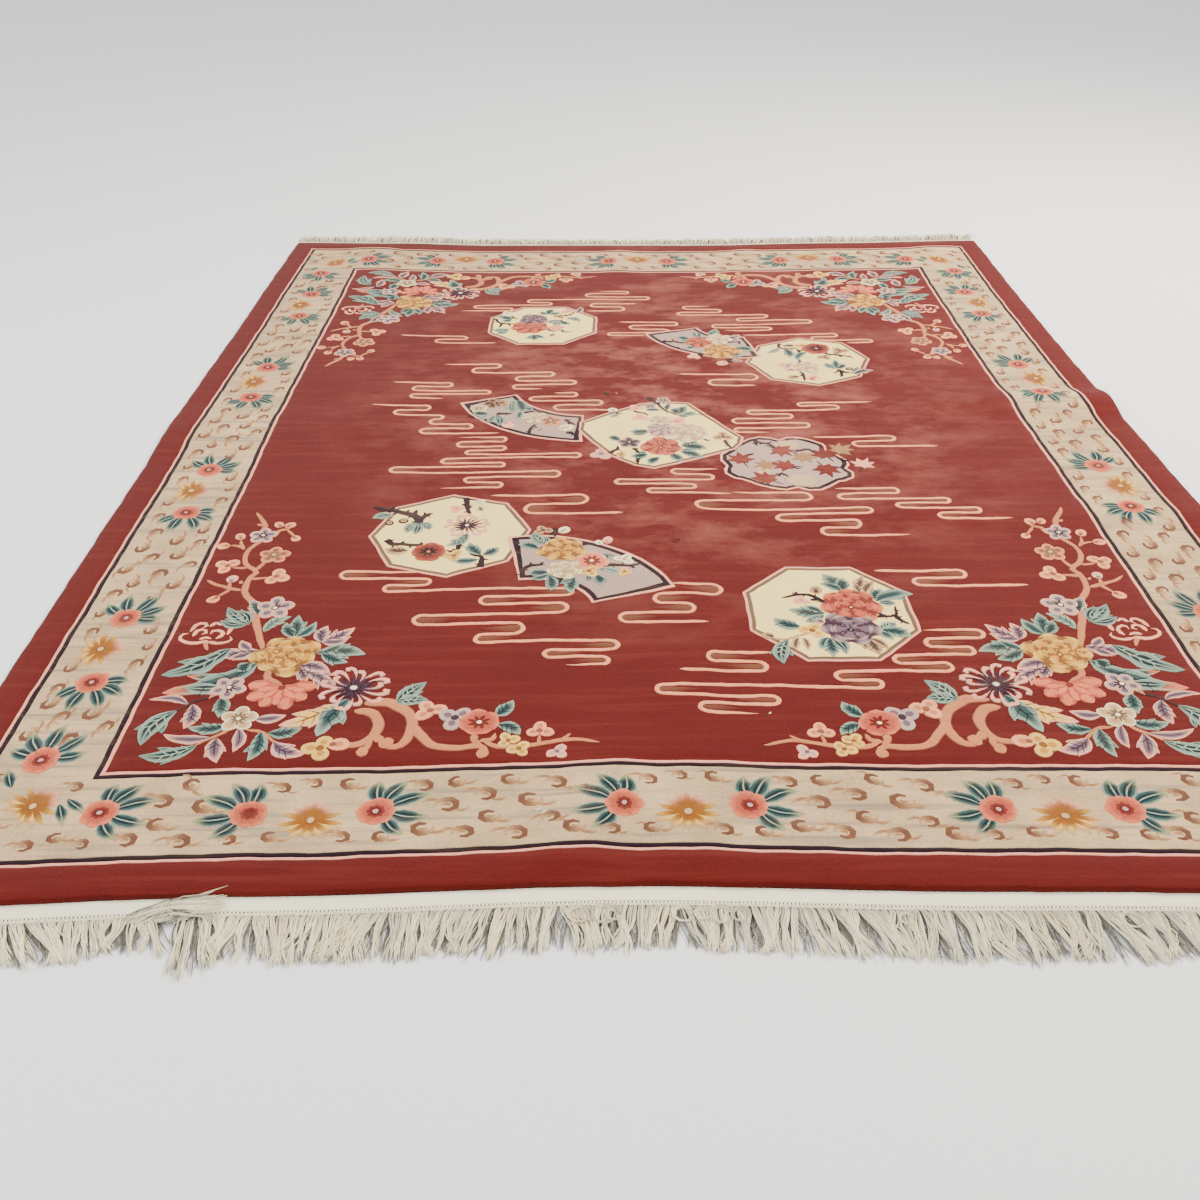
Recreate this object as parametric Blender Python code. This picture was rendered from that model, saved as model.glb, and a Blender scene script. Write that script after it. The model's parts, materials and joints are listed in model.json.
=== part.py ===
"""Chinese art deco rug: a hand-knotted wool pile carpet with flat-woven, fringed ends.

The rug lies on a flat surface, as uneven as a carpet that has just been unrolled. Its pile is one
sheet with soft ridges, and its two ends are drawn in at the middle. At each end the cotton warps
are woven into a narrow web, and their loose ends hang together in locks of fringe.

Metres, +Z up. The origin is the middle of the rug's underside, +X runs across its width and +Y
runs along its length, away from the near end.
"""

import math

import bmesh
import bpy
from mathutils import Vector

# --- driving dimensions --------------------------------------------------------------------------
PILE_WIDTH = 2.44            # across, edge to edge (8 ft)
PILE_LENGTH = 3.05           # along, without the webs (10 ft)
PILE_THICKNESS = 0.012       # foundation and wool pile together
PILE_EDGE_ROUND = 0.0045     # the shorn pile rounds over along its rim
PILE_EDGE_SEGMENTS = 2
PILE_COLUMNS = 50            # grid cells across
PILE_ROWS = 88               # grid cells along

WEB_WIDTH = 0.036            # flat-woven cotton end
WEB_THICKNESS = 0.0025
PIECE_GAP = 0.0003           # between the pile's end face and its web

LOCKS_PER_END = 120
LOCK_ROOT_SHARE = 0.78       # share of a lock's pitch that its root takes

FACING_OUTWARD = 0.9         # least outward part of the normal of a web's outer edge face

RIDGE_END_FADE = 0.050       # ridges die out this far before a woven web, which lies flat

HALF_WIDTH = PILE_WIDTH / 2
HALF_LENGTH = PILE_LENGTH / 2

# --- the lie of the rug --------------------------------------------------------------------------
# How far each end of the pile lies inside (+) or outside (-) its straight line, across the width.
NEAR_END_DRAW = (  # (x, drawn_in)
    (-1.22, -0.010),
    (-0.65, 0.010),
    (-0.10, 0.027),
    (0.45, 0.013),
    (1.22, 0.002),
)
FAR_END_DRAW = (  # (x, drawn_in)
    (-1.22, 0.006),
    (-0.86, 0.018),
    (-0.50, 0.046),
    (0.20, 0.052),
    (0.70, 0.030),
    (1.22, 0.006),
)
# How far each side bulges out (+) or pulls in (-), along the length.
LEFT_SIDE_BULGE = (  # (y, bulge)
    (-1.525, -0.002),
    (-0.30, 0.005),
    (0.05, 0.010),
    (0.90, 0.002),
    (1.525, -0.003),
)
RIGHT_SIDE_BULGE = (  # (y, bulge)
    (-1.525, 0.000),
    (-0.20, 0.003),
    (0.40, -0.006),
    (0.90, -0.003),
    (1.525, 0.008),
)

# Soft ridges in the sheet, each along a line from its first point to its second. The height runs
# from start to end, and the two reaches are how far the ridge spreads to the line's left and right.
RIDGES = (  # (x_start, y_start, x_end, y_end, height_start, height_end, reach_left, reach_right)
    (1.30, 0.155, 0.64, 0.170, 0.0185, 0.002, 0.115, 0.095),  # ripple standing at the right side
    (-1.30, 0.00, -0.62, 0.03, 0.0065, 0.002, 0.16, 0.20),    # its weaker twin at the left side
    (-0.225, -1.60, -0.07, -1.10, 0.011, 0.003, 0.10, 0.10),  # fold running in from the near end
    (0.02, -1.50, 0.03, -0.20, 0.0035, 0.002, 0.12, 0.10),    # crease along the middle, near half
    (1.26, -0.44, 0.18, -0.42, 0.006, 0.003, 0.09, 0.10),     # low ripple across the near right
    (-0.93, 1.60, -0.86, 0.95, 0.009, 0.002, 0.10, 0.14),     # fold behind the far left corner
    (-0.05, 1.60, -0.07, 1.10, 0.005, 0.002, 0.07, 0.08),     # fold at the middle of the far end
    (0.41, 1.60, 0.34, 1.05, 0.006, 0.002, 0.08, 0.08),       # fold right of it
    (1.08, 1.60, 0.98, 1.05, 0.006, 0.002, 0.13, 0.10),       # fold behind the far right corner
)
RIDGE_TIP_FADE = 0.22        # share of a ridge's length over which its far tip melts away

# --- the fringe ----------------------------------------------------------------------------------
# Length of the locks and how far their tips lean towards +X, across the width.
NEAR_FRINGE = (  # (x, length, lean)
    (-1.22, 0.074, 0.014),
    (-0.90, 0.070, 0.020),
    (-0.80, 0.046, 0.016),
    (-0.745, 0.098, 0.006),
    (-0.69, 0.070, 0.012),
    (-0.50, 0.082, 0.000),
    (-0.30, 0.066, 0.008),
    (0.00, 0.074, -0.008),
    (0.42, 0.084, 0.004),
    (0.80, 0.070, 0.010),
    (1.22, 0.076, -0.004),
)
FAR_FRINGE = (  # (x, length, lean)
    (-1.22, 0.064, -0.012),
    (-0.90, 0.078, 0.006),
    (-0.55, 0.070, -0.006),
    (-0.10, 0.060, 0.004),
    (0.50, 0.066, 0.000),
    (1.05, 0.068, 0.008),
    (1.22, 0.072, 0.018),
)
# A lock's own form: share of its length, share of its root width, thickness there.
LOCK_SECTIONS = (  # (along, width_share, thickness)
    (0.34, 1.00, 0.0045),
    (0.74, 0.80, 0.0040),
    (1.00, 0.34, 0.0016),
)
LENGTH_RIPPLE = 0.009        # neighbouring locks differ by up to this much
LENGTH_RIPPLE_STEPS = (0.0, 0.8, -0.5, 0.3, -1.0, 0.6, -0.2)

# --- finish, colours linear ----------------------------------------------------------------------------
BRICK_RED_WOOL = (0.30, 0.055, 0.035, 1.0)
CREAM_COTTON = (0.78, 0.72, 0.58, 1.0)
WOOL_ROUGHNESS = 0.95
COTTON_ROUGHNESS = 0.88
SMOOTH_SHADED_BELOW = math.radians(50.0)


def clear_scene():
    """Remove whatever the open file holds."""
    for scene_object in list(bpy.data.objects):
        bpy.data.objects.remove(scene_object, do_unlink=True)


def make_material(name, colour, roughness):
    """Return a Principled material of one colour."""
    material = bpy.data.materials.new(name)
    material.use_nodes = True
    shader = material.node_tree.nodes["Principled BSDF"]
    shader.inputs["Base Color"].default_value = colour
    shader.inputs["Roughness"].default_value = roughness
    shader.inputs["Metallic"].default_value = 0.0
    return material


def smooth_step(share):
    """Return an eased share between 0 and 1."""
    share = min(max(share, 0.0), 1.0)
    return share * share * (3.0 - 2.0 * share)


def read_table(table, key, column=1):
    """Return a column of a table at a key, eased between its rows."""
    if key <= table[0][0]:
        return table[0][column]
    for row, next_row in zip(table, table[1:]):
        if key <= next_row[0]:
            share = smooth_step((key - row[0]) / (next_row[0] - row[0]))
            return row[column] + share * (next_row[column] - row[column])
    return table[-1][column]


def near_end_y(x):
    """Return where the pile's near end lies at x."""
    return -HALF_LENGTH + read_table(NEAR_END_DRAW, x)


def far_end_y(x):
    """Return where the pile's far end lies at x."""
    return HALF_LENGTH - read_table(FAR_END_DRAW, x)


def lay_out(across, along):
    """Return the place in plan of a point given by its shares of the width and length, 0 to 1."""
    straight_x = (across - 0.5) * PILE_WIDTH
    straight_y = (along - 0.5) * PILE_LENGTH
    left = -HALF_WIDTH - read_table(LEFT_SIDE_BULGE, straight_y)
    right = HALF_WIDTH + read_table(RIGHT_SIDE_BULGE, straight_y)
    near = near_end_y(straight_x)
    far = far_end_y(straight_x)
    return left + across * (right - left), near + along * (far - near)


def ridge_height(x, y, ridge):
    """Return how high one ridge lifts the sheet at a point."""
    x_start, y_start, x_end, y_end, height_start, height_end, reach_left, reach_right = ridge
    run = Vector((x_end - x_start, y_end - y_start))
    offset = Vector((x - x_start, y - y_start))
    along = offset.dot(run) / run.length_squared
    if not 0.0 < along < 1.0:
        return 0.0
    aside = (run.x * offset.y - run.y * offset.x) / run.length
    reach = reach_left if aside > 0.0 else reach_right
    if abs(aside) >= reach:
        return 0.0
    bump = (1.0 - (aside / reach) ** 2) ** 2
    tip = smooth_step((1.0 - along) / RIDGE_TIP_FADE)
    return (height_start + along * (height_end - height_start)) * bump * tip


def sheet_height(x, y):
    """Return how high the rug's underside stands over the floor at a point."""
    from_web = min(y - near_end_y(x), far_end_y(x) - y)
    calm = smooth_step(from_web / RIDGE_END_FADE)
    return calm * max(ridge_height(x, y, ridge) for ridge in RIDGES)


def add_object(name, mesh_data, material):
    """Turn a bmesh into a smooth-shaded object of one material."""
    mesh = bpy.data.meshes.new(name)
    mesh_data.to_mesh(mesh)
    mesh_data.free()
    mesh.materials.append(material)
    mesh.shade_smooth()
    mesh.set_sharp_from_angle(angle=SMOOTH_SHADED_BELOW)
    piece = bpy.data.objects.new(name, mesh)
    bpy.context.scene.collection.objects.link(piece)
    return piece


def thicken(mesh_data, thickness):
    """Raise a closed solid of even thickness on a sheet of faces, and return its new top faces."""
    sheet_faces = list(mesh_data.faces)
    raised = bmesh.ops.extrude_face_region(mesh_data, geom=sheet_faces, use_keep_orig=True)
    top_verts = [item for item in raised["geom"] if isinstance(item, bmesh.types.BMVert)]
    top_faces = [item for item in raised["geom"] if isinstance(item, bmesh.types.BMFace)]
    bmesh.ops.translate(mesh_data, verts=top_verts, vec=(0.0, 0.0, thickness))
    bmesh.ops.recalc_face_normals(mesh_data, faces=mesh_data.faces)
    return top_faces


def build_pile():
    """Build the knotted pile, one sheet that follows the ridges and has a rounded rim."""
    mesh_data = bmesh.new()
    bmesh.ops.create_grid(mesh_data, x_segments=PILE_COLUMNS, y_segments=PILE_ROWS, size=0.5)
    for vert in mesh_data.verts:
        x, y = lay_out(vert.co.x + 0.5, vert.co.y + 0.5)
        vert.co = (x, y, sheet_height(x, y))
    top_faces = set(thicken(mesh_data, PILE_THICKNESS))
    rim = [
        edge
        for edge in mesh_data.edges
        if sum(face in top_faces for face in edge.link_faces) == 1
    ]
    bmesh.ops.bevel(
        mesh_data,
        geom=rim,
        offset=PILE_EDGE_ROUND,
        segments=PILE_EDGE_SEGMENTS,
        profile=0.5,
        affect="EDGES",
        material=-1,
    )
    return mesh_data


def end_point(across, along):
    """Return a point of the pile's end, on the straight runs between its grid columns."""
    column = across * PILE_COLUMNS
    first = min(math.floor(column), PILE_COLUMNS - 1)
    start = Vector(lay_out(first / PILE_COLUMNS, along))
    end = Vector(lay_out((first + 1) / PILE_COLUMNS, along))
    return start.lerp(end, column - first)


def web_stations():
    """Return the share of the width of each line across the web: every lock's root start and end."""
    pitch = 1.0 / LOCKS_PER_END
    half_root = pitch * LOCK_ROOT_SHARE / 2
    stations = [0.0]
    for lock in range(LOCKS_PER_END):
        middle = (lock + 0.5) * pitch
        stations += [middle - half_root, middle + half_root]
    return stations + [1.0]


def grow_lock(mesh_data, root_face, outward, length, lean):
    """Draw one lock of fringe out of a face of the web's outer edge, level on the floor."""
    root = root_face.calc_center_median()
    half_root = max(abs(vert.co.x - root.x) for vert in root_face.verts)
    face = root_face
    for along, width_share, thickness in LOCK_SECTIONS:
        face = bmesh.ops.extrude_discrete_faces(mesh_data, faces=[face])["faces"][0]
        middle = face.calc_center_median()
        for vert in face.verts:
            side = math.copysign(half_root * width_share, vert.co.x - middle.x)
            top = thickness if vert.co.z > middle.z else 0.0
            vert.co = (root.x + lean * along ** 2 + side, root.y + outward * length * along, top)


def build_web(end, fringe):
    """Build one flat-woven end with its locks of fringe, a small gap off the pile's end face.

    The end is 0 for the near one and 1 for the far one, as a share of the length.
    """
    outward = 1.0 if end else -1.0
    stations = web_stations()
    mesh_data = bmesh.new()
    bmesh.ops.create_grid(mesh_data, x_segments=len(stations) - 1, y_segments=1, size=0.5)
    for vert in mesh_data.verts:
        across = stations[round((vert.co.x + 0.5) * (len(stations) - 1))]
        depth = PIECE_GAP if vert.co.y * outward < 0.0 else PIECE_GAP + WEB_WIDTH
        x, y = end_point(across, end)
        vert.co = (x, y + outward * depth, 0.0)
    thicken(mesh_data, WEB_THICKNESS)
    outer_faces = [face for face in mesh_data.faces if face.normal.y * outward > FACING_OUTWARD]
    outer_faces.sort(key=middle_across)
    for number, root_face in enumerate(outer_faces[1::2]):
        x = middle_across(root_face)
        ripple = LENGTH_RIPPLE_STEPS[number % len(LENGTH_RIPPLE_STEPS)]
        length = read_table(fringe, x, 1) + ripple * LENGTH_RIPPLE
        grow_lock(mesh_data, root_face, outward, length, read_table(fringe, x, 2))
    bmesh.ops.recalc_face_normals(mesh_data, faces=mesh_data.faces)
    return mesh_data


def middle_across(face):
    """Return where a face's middle lies across the rug."""
    return face.calc_center_median().x


def main():
    """Build the rug's three pieces."""
    clear_scene()
    wool = make_material("hand_knotted_wool", BRICK_RED_WOOL, WOOL_ROUGHNESS)
    cotton = make_material("undyed_cotton", CREAM_COTTON, COTTON_ROUGHNESS)
    add_object("pile", build_pile(), wool)
    add_object("web_near", build_web(0, NEAR_FRINGE), cotton)
    add_object("web_far", build_web(1, FAR_FRINGE), cotton)


main()
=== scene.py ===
"""Chinese art deco rug: carved, hand-knotted wool pile with flat-woven, fringed cotton ends.

The pile stands on its foundation in zones, parted by carved grooves: a brick-red band, two pairs of
narrow lines, a beige border and a brick-red field. Flower sprays, medallions, branches and cloud
ribbons stand a little proud of it, each clipped round along its edges. Everything is charted on the
straight rug and then draped, so that it follows the ridges and the drawn-in ends.

Metres, +Z up. The origin is the middle of the rug's underside and +Y runs away from the near end.
"""

from __future__ import annotations

import json
import logging
import math
from collections.abc import Callable
from dataclasses import dataclass, field, replace
from enum import Enum

import bmesh
import bpy
import numpy as np
from mathutils import Matrix, Vector

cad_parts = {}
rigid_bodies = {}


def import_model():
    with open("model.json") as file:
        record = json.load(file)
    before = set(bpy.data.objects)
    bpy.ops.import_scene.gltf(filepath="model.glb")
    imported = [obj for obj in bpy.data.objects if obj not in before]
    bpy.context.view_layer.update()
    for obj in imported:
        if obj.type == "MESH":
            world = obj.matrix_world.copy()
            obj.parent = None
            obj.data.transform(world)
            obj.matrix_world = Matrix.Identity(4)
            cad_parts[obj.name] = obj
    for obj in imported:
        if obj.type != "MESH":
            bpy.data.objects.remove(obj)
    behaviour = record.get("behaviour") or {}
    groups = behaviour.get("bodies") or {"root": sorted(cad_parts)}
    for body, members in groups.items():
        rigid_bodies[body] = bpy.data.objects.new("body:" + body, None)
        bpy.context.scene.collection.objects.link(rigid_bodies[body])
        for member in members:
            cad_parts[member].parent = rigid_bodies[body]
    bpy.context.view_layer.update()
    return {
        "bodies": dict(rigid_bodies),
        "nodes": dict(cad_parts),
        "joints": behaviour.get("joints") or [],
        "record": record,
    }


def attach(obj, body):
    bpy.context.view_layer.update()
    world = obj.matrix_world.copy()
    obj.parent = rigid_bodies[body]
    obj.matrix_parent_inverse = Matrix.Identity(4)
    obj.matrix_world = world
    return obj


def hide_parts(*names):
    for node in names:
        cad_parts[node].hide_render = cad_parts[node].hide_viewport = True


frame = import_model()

logging.basicConfig(level=logging.INFO, format="%(message)s")
log = logging.getLogger("rug")

MM = 0.001
HALF_WIDTH, HALF_LENGTH = 1.22, 1.525   # the pile, 2.44 m by 3.05 m (8 ft by 10 ft)
PILE_THICKNESS = 12.0 * MM              # foundation and wool together
WEB_WIDTH, WEB_THICKNESS, WEB_GAP = 36.0 * MM, 2.5 * MM, 0.3 * MM

Table = tuple[tuple[float, ...], ...]
Material, Piece = bpy.types.Material, bpy.types.Object
Shape = bmesh.types.BMesh


# --- colours ---
def linear(hex_code: str) -> tuple[float, float, float, float]:
    """Turn an sRGB hex colour into linear values.

    Args:
        hex_code: the colour, such as "#A0402C".

    Returns:
        Red, green, blue and an alpha of one.
    """
    shares = [int(hex_code[start : start + 2], 16) / 255 for start in (1, 3, 5)]
    red, green, blue = (s / 12.92 if s <= 0.04045 else ((s + 0.055) / 1.055) ** 2.4 for s in shares)
    return red, green, blue, 1.0


class Dye(Enum):
    """The yarns on the knotter's shelf, by their sRGB colour."""

    BRICK = "#5B120D"
    BRICK_DEEP = "#4A0F0B"
    PALE_PINK = "#EFA184"
    PLUM = "#1C0A14"
    BEIGE = "#C8A87C"
    SAND = "#BE9162"
    TAN = "#6E543B"
    CREAM = "#FFE08A"
    IVORY = "#F6EBB4"
    LILAC = "#B89A8A"
    ASH = "#AD907F"
    LILAC_DEEP = "#705860"
    PURPLE = "#3C2333"
    TEAL = "#334B46"
    TEAL_DEEP = "#10262A"
    SEA_GREEN = "#74887A"
    PALE_GREEN = "#93A28A"
    LEAF_END = "#A09E72"
    MARK = "#6B4430"
    MARK_SOFT = "#9C7049"
    OCHRE = "#8E5418"
    OCHRE_END = "#CD9A42"
    HOLE = "#2B241B"
    PINK = "#B0503A"
    ROSE = "#782C24"
    SALMON = "#DC7550"
    CORAL_RED = "#651712"
    GOLD = "#C98A30"
    AMBER = "#855222"
    STRAW = "#E6B75E"
    RIBBON = "#F29B6E"
    RIBBON_EDGE = "#9A4E3C"
    RIBBON_TAN = "#6E3E2A"
    BOUGH = "#C47A4E"
    BOUGH_EDGE = "#8A4E36"
    TWIG = "#26101A"
    BARK = "#3E2622"
    COTTON = "#FCF3D2"
    COTTON_GREY = "#DAD2BC"
    COTTON_WARM = "#F5E6BC"
    COTTON_SHADE = "#827C70"


# --- how the rug lies ---
def smooth_step(share: np.ndarray) -> np.ndarray:
    """Ease shares between 0 and 1.

    Args:
        share: shares, clamped to 0 to 1.

    Returns:
        The eased shares.
    """
    share = np.clip(share, 0.0, 1.0)
    return share * share * (3.0 - 2.0 * share)


def read_table(table: Table, keys: np.ndarray, column: int = 1) -> np.ndarray:
    """Read a column of a table at many keys, eased between its rows.

    Args:
        table: rows sorted by their first column.
        keys: where to read.
        column: the column to read.

    Returns:
        The column's values at the keys, held level past both ends.
    """
    rows = np.asarray(table, float)
    keys = np.asarray(keys, float)
    below = np.clip(np.searchsorted(rows[:, 0], keys, side="left") - 1, 0, len(rows) - 2)
    start, end = rows[below], rows[below + 1]
    share = smooth_step((keys - start[..., 0]) / (end[..., 0] - start[..., 0]))
    return start[..., column] + share * (end[..., column] - start[..., column])


@dataclass(frozen=True)
class Lie:
    """How the rug lies: the drawn-in ends, the bowed sides and the soft ridges.

    Every table is in metres, the first two by x and the next two by y. A ridge is x and y of its
    start and end, its height at both, and its reach to the line's left and right.
    """

    near_draw: Table = ((-1.22, -0.010), (-0.65, 0.010), (-0.10, 0.027), (0.45, 0.013), (1.22, 0.002))
    far_draw: Table = (
        (-1.22, 0.006), (-0.86, 0.018), (-0.50, 0.046), (0.20, 0.052), (0.70, 0.030), (1.22, 0.006),
    )
    left_bulge: Table = ((-1.525, -0.002), (-0.30, 0.005), (0.05, 0.010), (0.90, 0.002), (1.525, -0.003))
    right_bulge: Table = ((-1.525, 0.000), (-0.20, 0.003), (0.40, -0.006), (0.90, -0.003), (1.525, 0.008))
    ridges: Table = (
        (1.30, 0.155, 0.64, 0.170, 0.0185, 0.002, 0.115, 0.095),
        (-1.30, 0.00, -0.62, 0.03, 0.0065, 0.002, 0.16, 0.20),
        (-0.225, -1.60, -0.07, -1.10, 0.011, 0.003, 0.10, 0.10),
        (0.02, -1.50, 0.03, -0.20, 0.0035, 0.002, 0.12, 0.10),
        (1.26, -0.44, 0.18, -0.42, 0.006, 0.003, 0.09, 0.10),
        (-0.93, 1.60, -0.86, 0.95, 0.009, 0.002, 0.10, 0.14),
        (-0.05, 1.60, -0.07, 1.10, 0.005, 0.002, 0.07, 0.08),
        (0.41, 1.60, 0.34, 1.05, 0.006, 0.002, 0.08, 0.08),
        (1.08, 1.60, 0.98, 1.05, 0.006, 0.002, 0.13, 0.10),
    )
    far_pull: float = 0.030         # how much nearer the far border's inner edge lies
    tip_fade: float = 0.22
    end_fade: float = 0.050
    drift: float = 1.1 * MM         # how far the knotter's lines stray
    drift_waves: Table = (  # waves per metre across and along, and a phase
        (3.1, 1.3, 0.4), (-2.2, 4.7, 2.1), (8.3, -5.9, 1.0), (-12.7, 11.1, 4.4), (19.0, 17.0, 3.3),
    )

    def plan(self, x: np.ndarray, y: np.ndarray) -> tuple[np.ndarray, np.ndarray]:
        """Find where points of the straight rug lie in plan.

        Args:
            x: across the straight rug.
            y: along it, past its ends for the webs and fringes.

        Returns:
            Where they lie, x and y.
        """
        inside = np.clip(y, -HALF_LENGTH, HALF_LENGTH)
        past = y - inside
        pull = smooth_step((inside - 0.35) / 0.90) * smooth_step((HALF_LENGTH - inside) / 0.26)
        inside = inside - self.far_pull * pull
        left = -HALF_WIDTH - read_table(self.left_bulge, inside)
        right = HALF_WIDTH + read_table(self.right_bulge, inside)
        near, far = self.near_end(x), self.far_end(x)
        share = (x + HALF_WIDTH) / (2 * HALF_WIDTH)
        along = (inside + HALF_LENGTH) / (2 * HALF_LENGTH)
        return left + share * (right - left), near + along * (far - near) + past

    def near_end(self, x: np.ndarray) -> np.ndarray:
        """Where the pile's near end lies at x."""
        return -HALF_LENGTH + read_table(self.near_draw, x)

    def far_end(self, x: np.ndarray) -> np.ndarray:
        """Where the pile's far end lies at x."""
        return HALF_LENGTH - read_table(self.far_draw, x)

    def underside(self, x: np.ndarray, y: np.ndarray) -> np.ndarray:
        """Find how high the underside stands over the floor.

        Args:
            x: where it lies across.
            y: where it lies along.

        Returns:
            The heights.
        """
        height = np.zeros_like(x)
        for x0, y0, x1, y1, start, end, left, right in self.ridges:
            run_x, run_y = x1 - x0, y1 - y0
            square = run_x**2 + run_y**2
            along = ((x - x0) * run_x + (y - y0) * run_y) / square
            aside = (run_x * (y - y0) - run_y * (x - x0)) / math.sqrt(square)
            reach = np.where(aside > 0.0, left, right)
            bump = np.clip(1.0 - (aside / reach) ** 2, 0.0, 1.0) ** 2
            tip = smooth_step((1.0 - along) / self.tip_fade) * (along > 0.0)
            height = np.maximum(height, (start + along * (end - start)) * bump * tip)
        from_web = np.minimum(y - self.near_end(x), self.far_end(x) - y)
        return height * smooth_step(from_web / self.end_fade)

    def drape(self, points: np.ndarray, base: float = PILE_THICKNESS) -> np.ndarray:
        """Lay points of the straight rug out as the rug lies.

        Args:
            points: rows of x, y and the height over the base.
            base: the height over the underside that their zero stands for.

        Returns:
            Rows of x, y, z in the row frame.
        """
        x, y, rise = points.T
        stray_x, stray_y = np.zeros_like(x), np.zeros_like(y)
        for across, along, phase in self.drift_waves:
            stray_x += np.sin(across * x * 6.3 + along * y * 6.3 + phase)
            stray_y += np.sin(along * x * 6.3 - across * y * 6.3 + 2.0 * phase)
        inside = (np.abs(y) <= HALF_LENGTH + 1e-6) * self.drift / math.sqrt(len(self.drift_waves))
        lie_x, lie_y = self.plan(x + stray_x * inside, y + stray_y * inside)
        return np.stack([lie_x, lie_y, rise + base + self.underside(lie_x, lie_y)], axis=1)


LIE = Lie()


# --- finishes ---
Socket = bpy.types.NodeSocket


class Shading:
    """A material in the making: its node tree, and short ways to add the nodes it needs."""

    def __init__(self, name: str) -> None:
        """Start the material.

        Args:
            name: the material's name.
        """
        self.material = bpy.data.materials.new(name)
        self.material.use_nodes = True
        self.tree = self.material.node_tree
        self.shader = self.tree.nodes["Principled BSDF"]

    def add(self, kind: str, settings: dict, links: dict) -> bpy.types.Node:
        """Add a shader node.

        Args:
            kind: Blender's name of the node, after its "ShaderNode".
            settings: values of its properties, or of its inputs by their name or number.
            links: sockets that feed its inputs, by the input's name or number.

        Returns:
            The node.
        """
        node = self.tree.nodes.new(f"ShaderNode{kind}")
        for name, value in settings.items():
            if isinstance(name, str) and hasattr(node, name):
                setattr(node, name, value)
            else:
                node.inputs[name].default_value = value
        for name, socket in links.items():
            self.tree.links.new(socket, node.inputs[name])
        return node

    def start(self) -> tuple[Socket, Socket]:
        """Sockets of the place on the piece and of its dye."""
        place = self.add("TexCoord", {}, {}).outputs["Object"]
        return place, self.add("Attribute", {"attribute_name": "dye"}, {}).outputs["Color"]

    def noise(self, place: Socket, scale: float, detail: float, roughness: float = 0.5) -> Socket:
        """Socket of a noise."""
        settings = {"Scale": scale, "Detail": detail, "Roughness": roughness}
        return self.add("TexNoise", settings, {"Vector": place}).outputs[0]

    def maths(self, operation: str, *terms: Socket | float) -> Socket:
        """Work out sockets and numbers.

        Args:
            operation: Blender's name of it.
            terms: what it works on, in order.

        Returns:
            The socket.
        """
        settings: dict = {"operation": operation}
        links = {}
        for number, term in enumerate(terms):
            (links if isinstance(term, Socket) else settings)[number] = term
        return self.add("Math", settings, links).outputs[0]

    def carry(self, value: Socket, low: float, high: float, start: float, end: float) -> Socket:
        """Socket of a value carried from the range low to high over to the range start to end."""
        settings = {"From Min": low, "From Max": high, "To Min": start, "To Max": end}
        return self.add("MapRange", settings, {"Value": value}).outputs[0]

    def shade(self, colour: Socket, strength: Socket) -> Socket:
        """Socket of a colour times a strength."""
        links = {0: colour, "Scale": strength}
        return self.add("VectorMath", {"operation": "SCALE"}, links).outputs[0]

    def tint(self, colour: Socket, share: Socket, towards: str) -> Socket:
        """Socket of a colour that is mixed towards an sRGB one."""
        settings = {"data_type": "RGBA", 7: linear(towards)}
        return self.add("Mix", settings, {0: share, 6: colour}).outputs[2]

    def swings(self, *terms: tuple[Socket, float]) -> Socket:
        """Sum up the swings of some noises round one.

        Args:
            terms: pairs of a noise and its strength.

        Returns:
            The socket.
        """
        total = 1.0
        for noise, strength in terms:
            total = self.maths("ADD", total, self.maths("MULTIPLY_ADD", noise, 2 * strength, -strength))
        return total

    def finish(self, colour: Socket, relief: Socket, bump: float, depth: float, look: dict) -> Material:
        """Wire the shader up.

        Args:
            colour: its colour.
            relief: the height of its fine relief.
            bump: how strongly the relief shows.
            depth: the relief's depth in metres.
            look: values of the shader's other inputs, by name.

        Returns:
            The material.
        """
        self.tree.links.new(colour, self.shader.inputs["Base Color"])
        settings = {"Strength": bump, "Distance": depth}
        normal = self.add("Bump", settings, {"Height": relief}).outputs[0]
        self.tree.links.new(normal, self.shader.inputs["Normal"])
        for name, value in look.items():
            self.shader.inputs[name].default_value = value
        return self.material


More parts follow.
